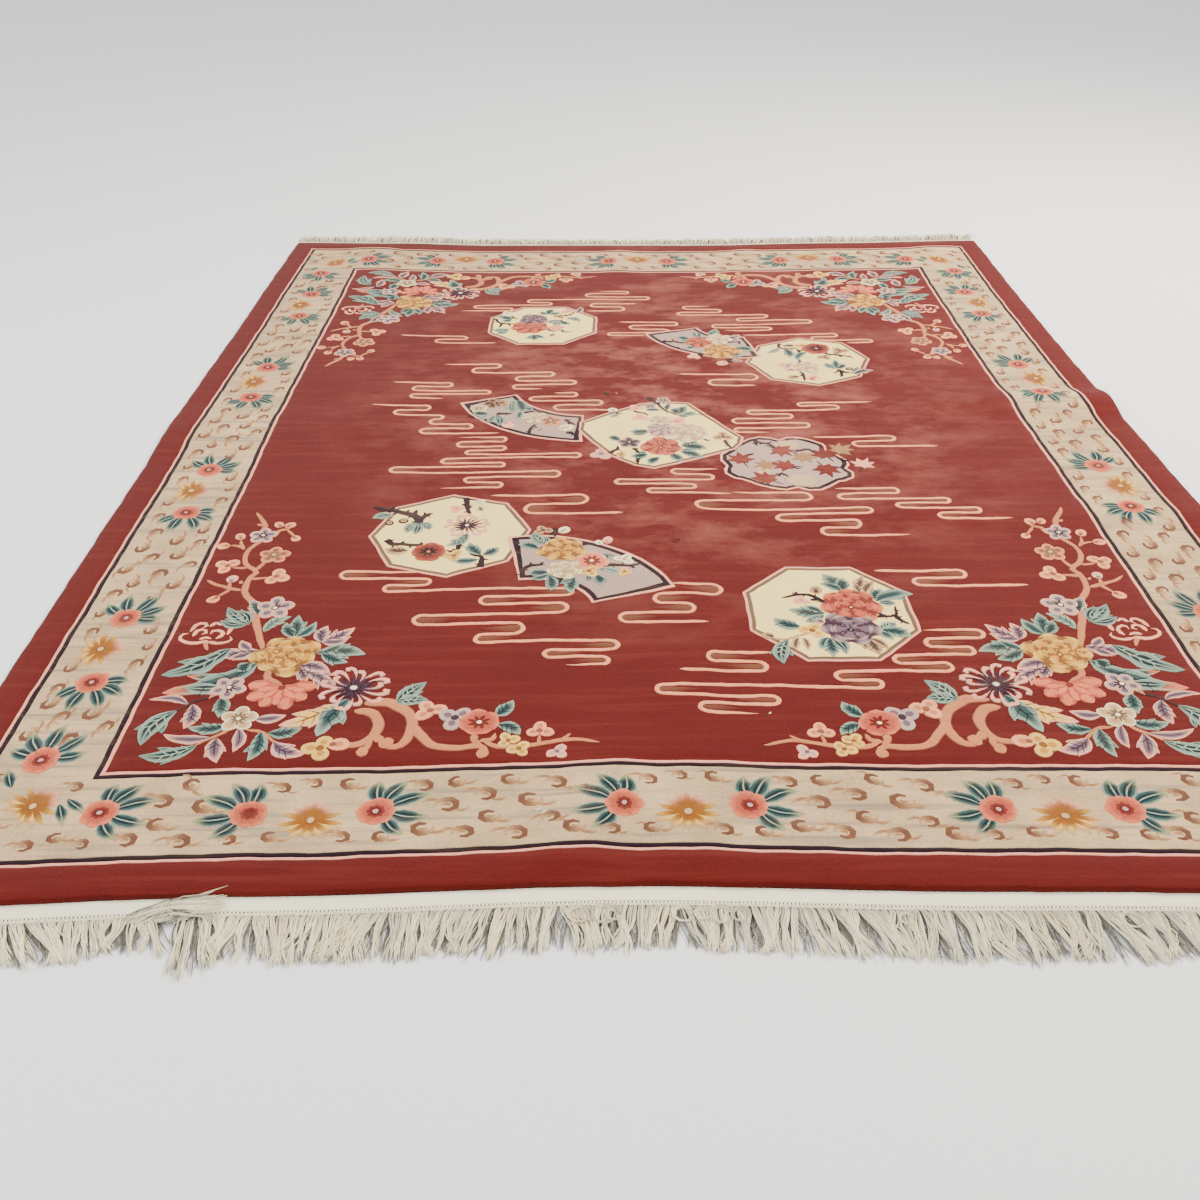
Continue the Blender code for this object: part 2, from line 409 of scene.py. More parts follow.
@dataclass(frozen=True)
class WoolPile:
    """Clipped wool pile, dyed by the mesh's own dye attribute.

    The eye reads the velvet of the cut ends, the grain of the knots, the bands of a changed dye lot
    and the paler patches in the middle, partly walked-on wear and partly painted sheen.
    """

    name: str
    knot: float = 3.2 * MM          # pitch of the knots
    fibre: float = 1.1 * MM         # tufts within a knot
    streak: float = 0.10            # how strongly the dye lot changes from row to row
    mottle: float = 0.16            # how strongly the shade drifts over a hand's width
    wear_and_sheen: float = 0.52              # how far the middle is paled: partly wear, partly painted sheen
    pale_wear_and_sheen: str = "#C87A66"           # the pale shade of the wear and the painted sheen
    lot: str = "#7A3228"            # the shade of a second dye lot, in streaks along the rows
    lot_share: float = 0.22
    bump: float = 0.55

    def make(self) -> Material:
        """Build the material.

        Returns:
            The material.
        """
        pile = Shading(self.name)
        place, dye = pile.start()
        rows = pile.add("Mapping", {"Scale": (2.5, 48.0, 1.0)}, {"Vector": place}).outputs[0]
        streaks, patches = pile.noise(rows, 1.0, 4.0, 0.6), pile.noise(place, 9.0, 5.0, 0.6)
        knots, tufts = (pile.noise(place, 1 / pitch, 2.0, 0.6) for pitch in (self.knot, self.fibre))
        uneven = pile.swings((streaks, self.streak), (patches, self.mottle), (knots, 0.40), (tufts, 0.26))
        colour = pile.shade(dye, uneven)
        colour = pile.tint(colour, pile.carry(streaks, 0.50, 0.66, 0.0, self.lot_share), self.lot)
        # painted sheen and wear: the middle is mixed towards a paler shade
        colour = pile.tint(colour, self._wear_and_sheen_mask(pile, place), self.pale_wear_and_sheen)
        look = {
            "Roughness": 0.92, "Specular IOR Level": 0.12, "Sheen Weight": 0.11, "Sheen Roughness": 0.45,
            "Sheen Tint": linear("#FFF1E6"),
        }
        return pile.finish(colour, pile.swings((knots, 0.8), (tufts, 0.6)), self.bump, 1.2 * MM, look)

    def _wear_and_sheen_mask(self, pile: Shading, place: Socket) -> Socket:
        """Mask the paler middle, partly walked-on wear and partly painted sheen, broken up in patches
        that are drawn out along the rows.

        Args:
            pile: the material in the making.
            place: the socket of object coordinates.

        Returns:
            The socket of the mask.
        """
        oval = {"Location": (-0.06, -0.20, 0.0), "Scale": (0.85, 0.62, 0.0)}
        centred = pile.add("Mapping", oval, {"Vector": place}).outputs[0]
        away = pile.add("VectorMath", {"operation": "LENGTH"}, {0: centred}).outputs["Value"]
        middle = pile.carry(away, 0.10, 0.85, 1.0, 0.0)
        drawn_out = pile.add("Mapping", {"Scale": (4.2, 7.5, 1.0)}, {"Vector": place}).outputs[0]
        patches = pile.noise(drawn_out, 1.0, 7.0, 0.68)
        return pile.maths("MULTIPLY", middle, pile.carry(patches, 0.46, 0.67, 0.0, self.wear_and_sheen))


@dataclass(frozen=True)
class CottonYarn:
    """Undyed, spun cotton, dyed by the mesh's own dye attribute: chalky, with a hairy grain."""

    name: str
    pitch: float = 1.6 * MM
    bump: float = 0.4
    weave: float = 0.0              # pitch of a woven grain, or none

    def make(self) -> Material:
        """Build the material.

        Returns:
            The material.
        """
        yarn = Shading(self.name)
        place, dye = yarn.start()
        grain, stain = yarn.noise(place, 1 / self.pitch, 3.0), yarn.noise(place, 7.0, 3.0)
        shade = yarn.maths("MULTIPLY_ADD", grain, 0.30, 0.84)
        soil = yarn.maths("MULTIPLY_ADD", stain, 0.24, -0.12)
        colour = yarn.shade(dye, yarn.maths("ADD", shade, soil))
        relief = grain
        if self.weave:
            waves = {"Scale": math.pi / 10 / self.weave, "Distortion": 0.6}
            bands = [
                yarn.add("TexWave", {**waves, "bands_direction": axis}, {"Vector": place}).outputs["Fac"]
                for axis in "XY"
            ]
            relief = yarn.maths("MULTIPLY", *bands)
        look = {"Roughness": 0.9, "Specular IOR Level": 0.15, "Sheen Weight": 0.15}
        return yarn.finish(colour, relief, self.bump, 0.5 * MM, look)


@dataclass(frozen=True)
class PlainFloor:
    """A pale, matt floor."""

    name: str = "pale_matt_floor"
    colour: str = "#F4F3F0"

    def make(self) -> Material:
        """Build the material.

        Returns:
            The material.
        """
        floor = Shading(self.name)
        look = {"Base Color": linear(self.colour), "Roughness": 0.95, "Specular IOR Level": 0.1}
        for name, value in look.items():
            floor.shader.inputs[name].default_value = value
        return floor.material


# --- stencils: closed shapes that are made once and pressed many times ---
class Part(Enum):
    """Which part of a motif a face belongs to, for its dye."""

    RIM = 0
    OUTER = 1
    HEART = 2
    VEIN = 3


@dataclass(frozen=True)
class Section:
    """Cross-section of a carved band, from its left foot over the top to its right foot.

    Points are across, -1 to 1, and rise, 0 to 1. Lanes give the part between each point and the
    next.
    """

    points: tuple[tuple[float, float], ...]
    lanes: tuple[Part, ...]


RIM, OUTER, HEART, VEIN = Part.RIM, Part.OUTER, Part.HEART, Part.VEIN
LEAF = Section(
    (
        (-1, 0), (-0.93, 1), (-0.76, 1), (-0.46, 1), (-0.09, 1), (0.09, 1), (0.46, 1), (0.76, 1),
        (0.93, 1), (1, 0),
    ),
    (RIM, RIM, OUTER, HEART, VEIN, HEART, OUTER, RIM, RIM),
)
PETAL = Section(
    ((-1, 0), (-0.86, 1), (-0.48, 1), (0.48, 1), (0.86, 1), (1, 0)), (RIM, OUTER, HEART, OUTER, RIM),
)
CORD = Section(((-1, 0), (-0.72, 1), (0.72, 1), (1, 0)), (RIM, OUTER, RIM))
ROUND_YARN = Section(((-0.87, -0.5), (0.0, 1.0), (0.87, -0.5)), (OUTER, OUTER))

# Half-width along a band, by shares of its length and of its greatest half-width.
LEAF_WIDTHS = ((0.0, 0.10), (0.14, 0.58), (0.36, 1.0), (0.62, 0.86), (0.86, 0.42), (1.0, 0.03))
BLUNT_WIDTHS = ((0.0, 0.25), (0.25, 0.66), (0.58, 1.0), (0.80, 0.98), (0.94, 0.66), (1.0, 0.16))
LOTUS_WIDTHS = ((0.0, 0.35), (0.30, 0.85), (0.55, 1.0), (0.80, 0.62), (1.0, 0.04))
BOUGH_WIDTHS = ((0.0, 0.3), (0.05, 0.8), (0.15, 1.0), (0.7, 0.78), (0.93, 0.6), (1.0, 0.15))
TWIG_WIDTHS = ((0.0, 1.0), (0.7, 0.72), (0.95, 0.5), (1.0, 0.12))
MAPLE_WIDTHS = ((0.0, 0.6), (0.3, 1.0), (0.5, 0.85), (0.75, 0.42), (1.0, 0.04))
DROP_WIDTHS = ((0.0, 0.9), (0.25, 1.0), (0.6, 0.75), (1.0, 0.05))


@dataclass
class Stencil:
    """A closed shape with a place on a unit form for every point, and a part for every face."""

    mesh: bpy.types.Mesh
    along: np.ndarray       # of each vertex: station number, or angle in radians
    across: np.ndarray      # of each vertex: -1 to 1 across, or share of the radius
    rise: np.ndarray        # of each vertex: 0 at the foot, 1 at the top
    part: np.ndarray        # of each face corner
    corner: np.ndarray      # the vertex of each face corner
    stations: int

    @classmethod
    def wrap(cls, shape: Shape, stations: int, places: list[tuple[float, ...]]) -> Stencil:
        """Keep a finished shape as a stencil.

        Args:
            shape: the shape, with each face's part as its material index. It is freed.
            stations: how many steps it has along.
            places: along, across and rise of each vertex.

        Returns:
            The stencil.
        """
        mesh = bpy.data.meshes.new("stencil")
        shape.to_mesh(mesh)
        shape.free()
        mesh.attributes.new("dye", "FLOAT_COLOR", "CORNER")
        sizes = np.empty(len(mesh.polygons), np.int32)
        parts = np.empty(len(mesh.polygons), np.int32)
        corner = np.empty(len(mesh.loops), np.int32)
        mesh.polygons.foreach_get("loop_total", sizes)
        mesh.polygons.foreach_get("material_index", parts)
        mesh.loops.foreach_get("vertex_index", corner)
        mesh.polygons.foreach_set("material_index", np.zeros_like(parts))
        along, across, rise = np.array(places, float).T
        return cls(mesh, along, across, rise, np.repeat(parts, sizes), corner, stations)

    @classmethod
    def band(cls, section: Section, stations: int) -> Stencil:
        """Make a band by drawing its cross-section out of a prism's end, step by step.

        Args:
            section: its cross-section.
            stations: how many steps it has.

        Returns:
            The stencil.
        """
        count = len(section.points)
        shape = bmesh.new()
        bmesh.ops.create_cone(shape, cap_ends=True, segments=count, radius1=1.0, radius2=1.0, depth=1.0)
        end = max(shape.faces, key=lambda face: face.calc_center_median().z)
        for _ in range(stations - 1):
            end = bmesh.ops.extrude_discrete_faces(shape, faces=[end])["faces"][0]
            bmesh.ops.translate(shape, verts=end.verts, vec=(0.0, 0.0, 1.0))
        first = min(shape.verts, key=lambda vert: vert.co.z).co
        first_angle = math.atan2(first.y, first.x)
        step = math.tau / count

        def point_number(vert: bmesh.types.BMVert) -> int:
            """Number of the section's point that a vertex stands on."""
            return round((math.atan2(vert.co.y, vert.co.x) - first_angle) / step) % count

        shape.normal_update()
        for face in shape.faces:
            numbers = sorted({point_number(vert) for vert in face.verts})
            side = abs(face.normal.z) < 0.5 and numbers[1] - numbers[0] == 1
            face.material_index = section.lanes[numbers[0]].value if side else RIM.value
        places = [(round(vert.co.z + 0.5), *section.points[point_number(vert)]) for vert in shape.verts]
        return cls.wrap(shape, stations, places)

    @classmethod
    def disc(cls, rings: Table, spokes: int) -> Stencil:
        """Make a disc by stepping a prism's top inwards, ring by ring, to a poked middle.

        Args:
            rings: radius share, rise and part number of the faces inside it, from the foot inwards.
            spokes: how many corners go round.

        Returns:
            The stencil.
        """
        shape = bmesh.new()
        bmesh.ops.create_cone(shape, cap_ends=True, segments=spokes, radius1=1.0, radius2=1.0, depth=1.0)
        for vert in shape.verts:
            ring = rings[1] if vert.co.z > 0 else rings[0]
            vert.co.x *= ring[0]
            vert.co.y *= ring[0]
            vert.co.z = ring[1]
        shape.normal_update()
        for face in shape.faces:
            face.material_index = int(rings[0][2])
        cap = max(shape.faces, key=lambda face: face.calc_center_median().z)
        for before, ring in zip(rings[1:], rings[2:]):
            known = set(shape.faces) - {cap}
            cap = bmesh.ops.extrude_discrete_faces(shape, faces=[cap])["faces"][0]
            for vert in cap.verts:
                vert.co.x *= ring[0] / before[0]
                vert.co.y *= ring[0] / before[0]
                vert.co.z = ring[1]
            for face in set(shape.faces) - known:
                face.material_index = int(before[2])
        middle = bmesh.ops.poke(shape, faces=[cap])
        for face in middle["faces"]:
            face.material_index = int(rings[-1][2])
        places = [
            (math.atan2(vert.co.y, vert.co.x), vert.co.xy.length, vert.co.z) for vert in shape.verts
        ]
        return cls.wrap(shape, spokes, places)

    def spoke(self) -> np.ndarray:
        """Which spoke each vertex of a disc stands on."""
        return np.round(self.along % math.tau / math.tau * self.stations).astype(int) % self.stations


DISC_RINGS = ((1.0, 0, 0), (0.93, 1, 0), (0.80, 1, 1), (0.42, 1, 2))
DOT_RINGS = ((1.0, 0, 0), (0.86, 1, 1))


def heading(angle: float) -> np.ndarray:
    """Unit vector of a direction in degrees."""
    return np.array([math.cos(math.radians(angle)), math.sin(math.radians(angle))])


def turned(across: np.ndarray, along: np.ndarray, angle: float) -> np.ndarray:
    """Rows of x and y, turned by an angle in degrees."""
    cos, sin = heading(angle)
    return np.stack([across * cos - along * sin, across * sin + along * cos], axis=-1)


@dataclass(frozen=True)
class Spot:
    """Where a motif is drawn on the straight rug: its middle, its turn and its mirroring."""

    x: float = 0.0
    y: float = 0.0
    turn: float = 0.0       # degrees, before the mirroring
    flip_x: bool = False
    flip_y: bool = False
    size: float = 1.0

    def place(self, points: np.ndarray) -> np.ndarray:
        """Carry rows of x and y from the motif's own chart to the straight rug.

        Args:
            points: the rows on the chart.

        Returns:
            The rows on the rug.
        """
        across, along = turned(*points.T, self.turn).T * self.size
        across, along = across + self.x, along + self.y
        return np.stack([-across if self.flip_x else across, -along if self.flip_y else along], axis=1)

    def moved(self, x: float, y: float, turn: float = 0.0, size: float = 1.0) -> Spot:
        """A spot given on this one's chart."""
        step = turned(x, y, self.turn)
        return replace(self, x=self.x + step[0], y=self.y + step[1], turn=self.turn + turn, size=size)


def smooth_path(points: np.ndarray, stations: int) -> np.ndarray:
    """Draw an even, smooth line through a few points.

    Args:
        points: rows of coordinates.
        stations: how many equal steps the line is cut into.

    Returns:
        Rows of coordinates, one more than the steps.
    """
    if len(points) > 2:
        ends = np.vstack([2 * points[0] - points[1], points, 2 * points[-1] - points[-2]])
        share = np.linspace(0.0, 1.0, 9)[:-1, None]
        runs = []
        for a, b, c, d in zip(ends, ends[1:], ends[2:], ends[3:]):
            bend = 2 * a - 5 * b + 4 * c - d + share * (3 * (b - c) + d - a)
            runs.append(b + 0.5 * share * (c - a + share * bend))
        points = np.vstack([*runs, points[-1:]])
    steps = np.linalg.norm(np.diff(points, axis=0), axis=1)
    travelled = np.concatenate([[0.0], np.cumsum(steps)])
    wanted = np.linspace(0.0, travelled[-1], stations + 1)
    return np.stack([np.interp(wanted, travelled, axis) for axis in points.T], axis=1)


def sideways(path: np.ndarray) -> np.ndarray:
    """Unit normals of a line in plan, as rows of x and y that point to its left.

    Args:
        path: rows of coordinates.

    Returns:
        A normal for each row.
    """
    run = np.gradient(path[:, :2], axis=0)
    run /= np.maximum(np.linalg.norm(run, axis=1, keepdims=True), 1e-9)
    return np.stack([-run[:, 1], run[:, 0]], axis=1)


Dyes = tuple[Dye, ...]
Place = tuple[float, float] | np.ndarray
Fade = tuple[float, Dye]                # share of a length where a fade starts, and its last dye


@dataclass
class Carving:
    """One piece of carved pile in the making: it collects the motifs pressed into it.

    Its methods share some words. Spot is where a motif's chart lies, and at is a point on that
    chart. Sizes are in metres, angles in degrees, and a height is in millimetres over the ground.
    Dyes are for the rim, the outer lane, the heart and the vein, and the last one goes on.
    """

    name: str
    seed: int = 1
    foot: float = -1.0 * MM          # how deep a motif's foot is sunk in the ground
    ragged: float = 0.35 * MM        # how uneven a clipped edge is
    shape: Shape = field(default_factory=bmesh.new)
    pressed: int = 0
    stencils: dict = field(default_factory=dict)

    def __post_init__(self) -> None:
        """Start the piece's own chance, and its layer of dye."""
        self.chance = np.random.default_rng(self.seed)
        self.shape.loops.layers.float_color.new("dye")

    def _stencil(self, make: Callable[..., Stencil], shape: Section | Table, count: int) -> Stencil:
        """A stencil of that shape and number of steps or spokes, made on its first use.

        Args:
            make: what makes it.
            shape: its section, or its rings.
            count: its steps or spokes.

        Returns:
            The stencil.
        """
        key = (shape, count)
        if key not in self.stencils:
            self.stencils[key] = make(shape, count)
        return self.stencils[key]

    def top(self, height: float) -> float:
        """Height of the next motif's top: each stands a hair above the one before it."""
        self.pressed += 1
        return height * MM + (self.pressed % 60) * 0.003 * MM

    def press(self, stencil: Stencil, points: np.ndarray, colours: np.ndarray) -> None:
        """Press a stencil into the piece.

        Args:
            stencil: the shape.
            points: rows of x, y, z for its vertices.
            colours: rows of linear colour for its face corners.
        """
        shade = 1.0 + self.chance.normal(0.0, 0.035)
        colours = np.clip(colours * (shade, shade, shade, 1.0), 0.0, 1.0)
        stencil.mesh.vertices.foreach_set("co", points.astype(np.float32).ravel())
        stencil.mesh.attributes["dye"].data.foreach_set("color", colours.astype(np.float32).ravel())
        self.shape.from_mesh(stencil.mesh)

    def _lay(
        self, stencil: Stencil, plan: np.ndarray, dyes: Dyes, height: float, fade: Fade | None = None
    ) -> None:
        """Press a stencil that is laid out in plan, its foot sunk and its parts dyed.

        Args:
            stencil: the shape.
            plan: rows of x and y for its vertices.
            dyes: its dyes.
            height: how proud its top stands.
            fade: how it fades along.
        """
        rise = self.foot + stencil.rise * (self.top(height) - self.foot)
        palette = [linear(dye.value) for dye in dyes]
        palette += [palette[-1]] * (4 - len(palette))
        colours = np.array(palette)[stencil.part]
        if fade:
            where = stencil.along[stencil.corner] / stencil.stations
            mix = smooth_step((where - fade[0]) / (1.0 - fade[0]))[:, None]
            colours = colours * (1 - mix) + np.array(linear(fade[1].value)) * mix
        self.press(stencil, np.column_stack([plan, rise]), colours)

    def band(
        self, spot: Spot, path: Table, half_width: float, dyes: Dyes, height: float, *,
        section: Section = CORD, widths: Table = TWIG_WIDTHS, stations: int = 10, scallops: float = 0.0,
        fade: Fade | None = None, straight: bool = False,
    ) -> None:
        """Press a band along a line: a leaf, petal, twig, scroll or ribbon.

        Args:
            spot: where its chart lies.
            path: a few points of its middle line.
            half_width: its greatest half-width.
            dyes: its dyes.
            height: how proud its top stands.
            section: its cross-section.
            widths: its half-width along.
            stations: how many steps it has.
            scallops: how many lobes its edges have, or none.
            fade: how it fades towards its end.
            straight: keep the path's own points as they are.
        """
        stencil = self._stencil(Stencil.band, section, stations)
        line = np.asarray(path, float)
        line = spot.place(line if straight else smooth_path(line, stations))
        share = np.linspace(0.0, 1.0, stations + 1)
        table = np.asarray(widths, float)
        width = half_width * spot.size * np.interp(share, table[:, 0], table[:, 1])
        if scallops:
            width *= 1.0 + 0.22 * np.sin(math.tau * scallops * share)
        line = line + self.chance.normal(0.0, self.ragged * 0.5, line.shape)
        station = stencil.along.astype(int)
        rough = self.chance.normal(0.0, self.ragged, (2, stations + 1))
        edge = np.where(stencil.across < 0, rough[0][station], rough[1][station])
        reach = np.maximum(width[station] + edge * (width[station] > 2 * MM), 0.15 * MM)
        plan = line[station] + sideways(line)[station] * (reach * stencil.across)[:, None]
        self._lay(stencil, plan, dyes, height, fade)

    def disc(
        self, spot: Spot, at: Place, radius: float, dyes: Dyes, height: float, *, lobes: int = 0,
        depth: float = 0.16, stretch: float = 1.0, turn: float = 0.0, spokes: int = 16,
        rings: Table = DISC_RINGS,
    ) -> None:
        """Press a round or lobed disc: a blossom's eye, a bud or a whole small flower.

        Args:
            spot: where its chart lies.
            at: its middle.
            radius: its radius.
            dyes: its dyes.
            height: how proud its top stands.
            lobes: how many lobes its edge has.
            depth: how deep the lobes cut, as a share of the radius.
            stretch: how much longer it is than wide.
            turn: the direction that it is stretched in.
            spokes: how many corners go round.
            rings: its rings, from the foot inwards.
        """
        stencil = self._stencil(Stencil.disc, rings, spokes)
        angle = stencil.along
        reach = radius * np.ones_like(angle)
        if lobes:
            cut = depth * (1.0 - np.abs(np.cos(angle * lobes / 2)) ** 0.7)
            reach *= 1.0 - cut * stencil.across**2
        reach = reach + self.chance.normal(0.0, self.ragged, spokes)[stencil.spoke()]
        reach = np.maximum(reach, 0.3 * radius) * stencil.across
        plan = at + turned(reach * np.cos(angle) * stretch, reach * np.sin(angle), turn)
        self._lay(stencil, spot.place(plan), dyes, height)

    def plate(
        self, middle: np.ndarray, outline: np.ndarray, dyes: Dyes, height: float, rings: Table,
        frame: float,
    ) -> None:
        """Press a flat plate.

        Args:
            middle: x and y of its middle.
            outline: its outline's points from its middle, anticlockwise, one to a spoke.
            dyes: its dyes.
            height: how proud its top stands.
            rings: its rings, from the foot inwards.
            frame: width of the rings that follow its outline.
        """
        stencil = self._stencil(Stencil.disc, rings, len(outline))
        number = stencil.spoke()
        rough = 1.0 + self.chance.normal(0.0, 0.4 * self.ragged, len(outline))[number] / 0.17
        reach = float(np.linalg.norm(outline, axis=1).mean())
        inwards = sideways(np.vstack([outline[-1:], outline, outline[:1]]))[1:-1]
        lane = np.minimum((1 - stencil.across) * reach, frame)
        shrink = np.minimum(stencil.across / (1 - frame / reach), 1.0)
        followed = outline[number] + inwards[number] * lane[:, None]
        self._lay(stencil, middle + followed * (shrink * rough)[:, None], dyes, height)

    def leaf(
        self, spot: Spot, at: Place, angle: float, length: float, width: float, dyes: Dyes, *,
        bend: float = 0.0, height: float = 1.2, veined: bool = False, fade: Fade | None = None,
        scallops: float = 0.0,
    ) -> None:
        """Press a leaf that grows from a point.

        Args:
            spot: where its chart lies.
            at: its stalk's end.
            angle: where it points.
            length: its length.
            width: its greatest width.
            dyes: its dyes.
            bend: how far its middle bows to its left, as a share of the length.
            height: how proud it stands.
            veined: whether side lobes and short veins leave its heart.
            fade: how it fades towards its tip.
            scallops: lobes along its edges.
        """
        ahead = heading(angle)
        left = np.array([-ahead[1], ahead[0]])

        def middle(share: float) -> np.ndarray:
            """A point of the leaf's middle line."""
            return at + length * (share * ahead + 4 * share * (1 - share) * bend * left)

        blade = {"section": LEAF, "widths": LEAF_WIDTHS, "fade": fade}
        path = np.array([middle(share) for share in (0.0, 0.25, 0.5, 0.75, 1.0)])
        self.band(spot, path, width / 2, dyes, height, stations=9, scallops=scallops, **blade)
        if not veined:
            return
        if length < 4.0 * width:
            for share, lean, reach in ((0.24, 36, 0.46), (0.34, -36, 0.44)):
                root = middle(share)
                end = root + reach * length * heading(angle + lean)
                lobe = (root, (root + end) / 2, end)
                self.band(spot, lobe, width * 0.22, dyes, height - 0.1, stations=6, **blade)
        for share, reach in ((0.18, 0.34), (0.35, 0.44), (0.54, 0.38)):
            for side in (-1, 1):
                root = middle(share + 0.04 * side)
                end = root + ahead * width * 0.34 + left * side * width * reach
                self.band(
                    spot, (root, end), 2.1 * MM, dyes[3:], height + 0.12, widths=((0, 1), (1, 0.25)),
                    stations=2,
                )

    def petal(
        self, spot: Spot, at: Place, angle: float, length: float, width: float, dyes: Dyes, height: float,
        *, widths: Table = BLUNT_WIDTHS, **look: float | Fade | None,
    ) -> None:
        """Press a petal that grows from a point.

        Args:
            spot: where its chart lies.
            at: its root.
            angle: where it points.
            length: its length.
            width: its greatest width.
            dyes: its dyes.
            height: how proud it stands.
            widths: its outline.
            look: its fade and scallops, as for a band.
        """
        path = (np.array(at), at + length * heading(angle))
        self.band(spot, path, width / 2, dyes, height, section=PETAL, widths=widths, stations=7, **look)

    def rosette(
        self, spot: Spot, at: Place, radius: float, petals: int, dyes: Dyes, height: float, *,
        start: float = 90.0, inner: float = 0.12, fullness: float = 1.25, loose: float = 0.05,
        **look: float | Fade | Table | None,
    ) -> None:
        """Press a ring of petals.

        Args:
            spot: where its chart lies.
            at: its middle.
            radius: how far its petals reach.
            petals: how many there are.
            dyes: a petal's dyes.
            height: how proud they stand.
            start: the direction of the first petal.
            inner: where the petals root, as a share of the radius.
            fullness: a petal's width as a share of its room.
            loose: how uneven the petals are.
            look: a petal's outline, fade and scallops.
        """
        step = 360.0 / petals
        room = 2 * radius * 0.72 * math.tan(math.radians(min(step, 80.0)) / 2)
        for number in range(petals):
            angle = start + (number + self.chance.normal(0.0, loose)) * step
            root = at + radius * inner * heading(angle)
            length = radius * (1 - inner) * (1 + self.chance.normal(0.0, loose))
            self.petal(spot, root, angle, length, room * fullness, dyes, height, **look)

    def finish(self, material: Material, slot: str = "wool_pile", base: float = PILE_THICKNESS) -> Piece:
        """Drape everything pressed so far and turn it into a piece.

        Args:
            material: its finish.
            slot: the record's material slot.
            base: the height over the underside that the chart's zero stands for.

        Returns:
            The piece.
        """
        bmesh.ops.recalc_face_normals(self.shape, faces=self.shape.faces)
        for stencil in self.stencils.values():
            bpy.data.meshes.remove(stencil.mesh)
        return finish_piece(self.name, self.shape, material, slot, base)


def count_triangles(mesh: bpy.types.Mesh) -> int:
    """Number of triangles that a mesh makes."""
    return sum(len(polygon.vertices) - 2 for polygon in mesh.polygons)


def finish_piece(
    name: str, shape: Shape, material: Material, slot: str, base: float | None = PILE_THICKNESS,
    sharp_from: float = 48.0,
) -> Piece:
    """Turn a shape into a piece of the rug, draped if it is still straight.

    Args:
        name: the piece's name.
        shape: its shape, which is freed.
        material: its finish.
        slot: the record's material slot; not used.
        base: what its chart's zero stands for over the underside, or None if it lies already.
        sharp_from: the angle in degrees past which an edge stays sharp.

    Returns:
        The piece.
    """
    mesh = bpy.data.meshes.new(name)
    shape.to_mesh(mesh)
    shape.free()
    if base is not None:
        points = np.empty(len(mesh.vertices) * 3, np.float32)
        mesh.vertices.foreach_get("co", points)
        points = LIE.drape(points.reshape(-1, 3).astype(float), base)
        mesh.vertices.foreach_set("co", points.astype(np.float32).ravel())
    mesh.materials.append(material)
    mesh.shade_smooth()
    mesh.set_sharp_from_angle(angle=math.radians(sharp_from))
    mesh.update()
    piece = bpy.data.objects.new(name, mesh)
    bpy.context.scene.collection.objects.link(piece)
    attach(piece, "root")
    log.info("%-26s %7d triangles", name, count_triangles(mesh))
    return piece


def dye_all(shape: Shape, dye: Dye) -> None:
    """Dye every face of a shape alike.

    Args:
        shape: the shape.
        dye: the dye.
    """
    layer = shape.loops.layers.float_color.get("dye") or shape.loops.layers.float_color.new("dye")
    colour = linear(dye.value)
    for face in shape.faces:
        for loop in face.loops:
            loop[layer] = colour


# --- the ground: foundation and zones of pile ---
@dataclass(frozen=True)
class Zone:
    """A zone of plain pile, as a frame round the rug or, with no inner edge, the filled field."""

    name: str
    outer: float            # inset of its outer edge from the pile's edge
    inner: float | None     # inset of its inner edge
    dye: Dye
    finish: str             # "field", "border" or "line"


ZONES = (
    Zone("pile_outer_band", 0.0, 0.0642, Dye.BRICK, "field"),
    Zone("pile_outer_pale_line", 0.0642, 0.0700, Dye.PALE_PINK, "line"),
    Zone("pile_outer_dark_line", 0.0700, 0.0790, Dye.PLUM, "line"),
    Zone("pile_border_ground", 0.0790, 0.2535, Dye.BEIGE, "border"),
    Zone("pile_inner_dark_line", 0.2535, 0.2625, Dye.PLUM, "line"),
    Zone("pile_inner_pale_line", 0.2625, 0.2695, Dye.PALE_PINK, "line"),
    Zone("pile_field", 0.2695, None, Dye.BRICK, "field"),
)


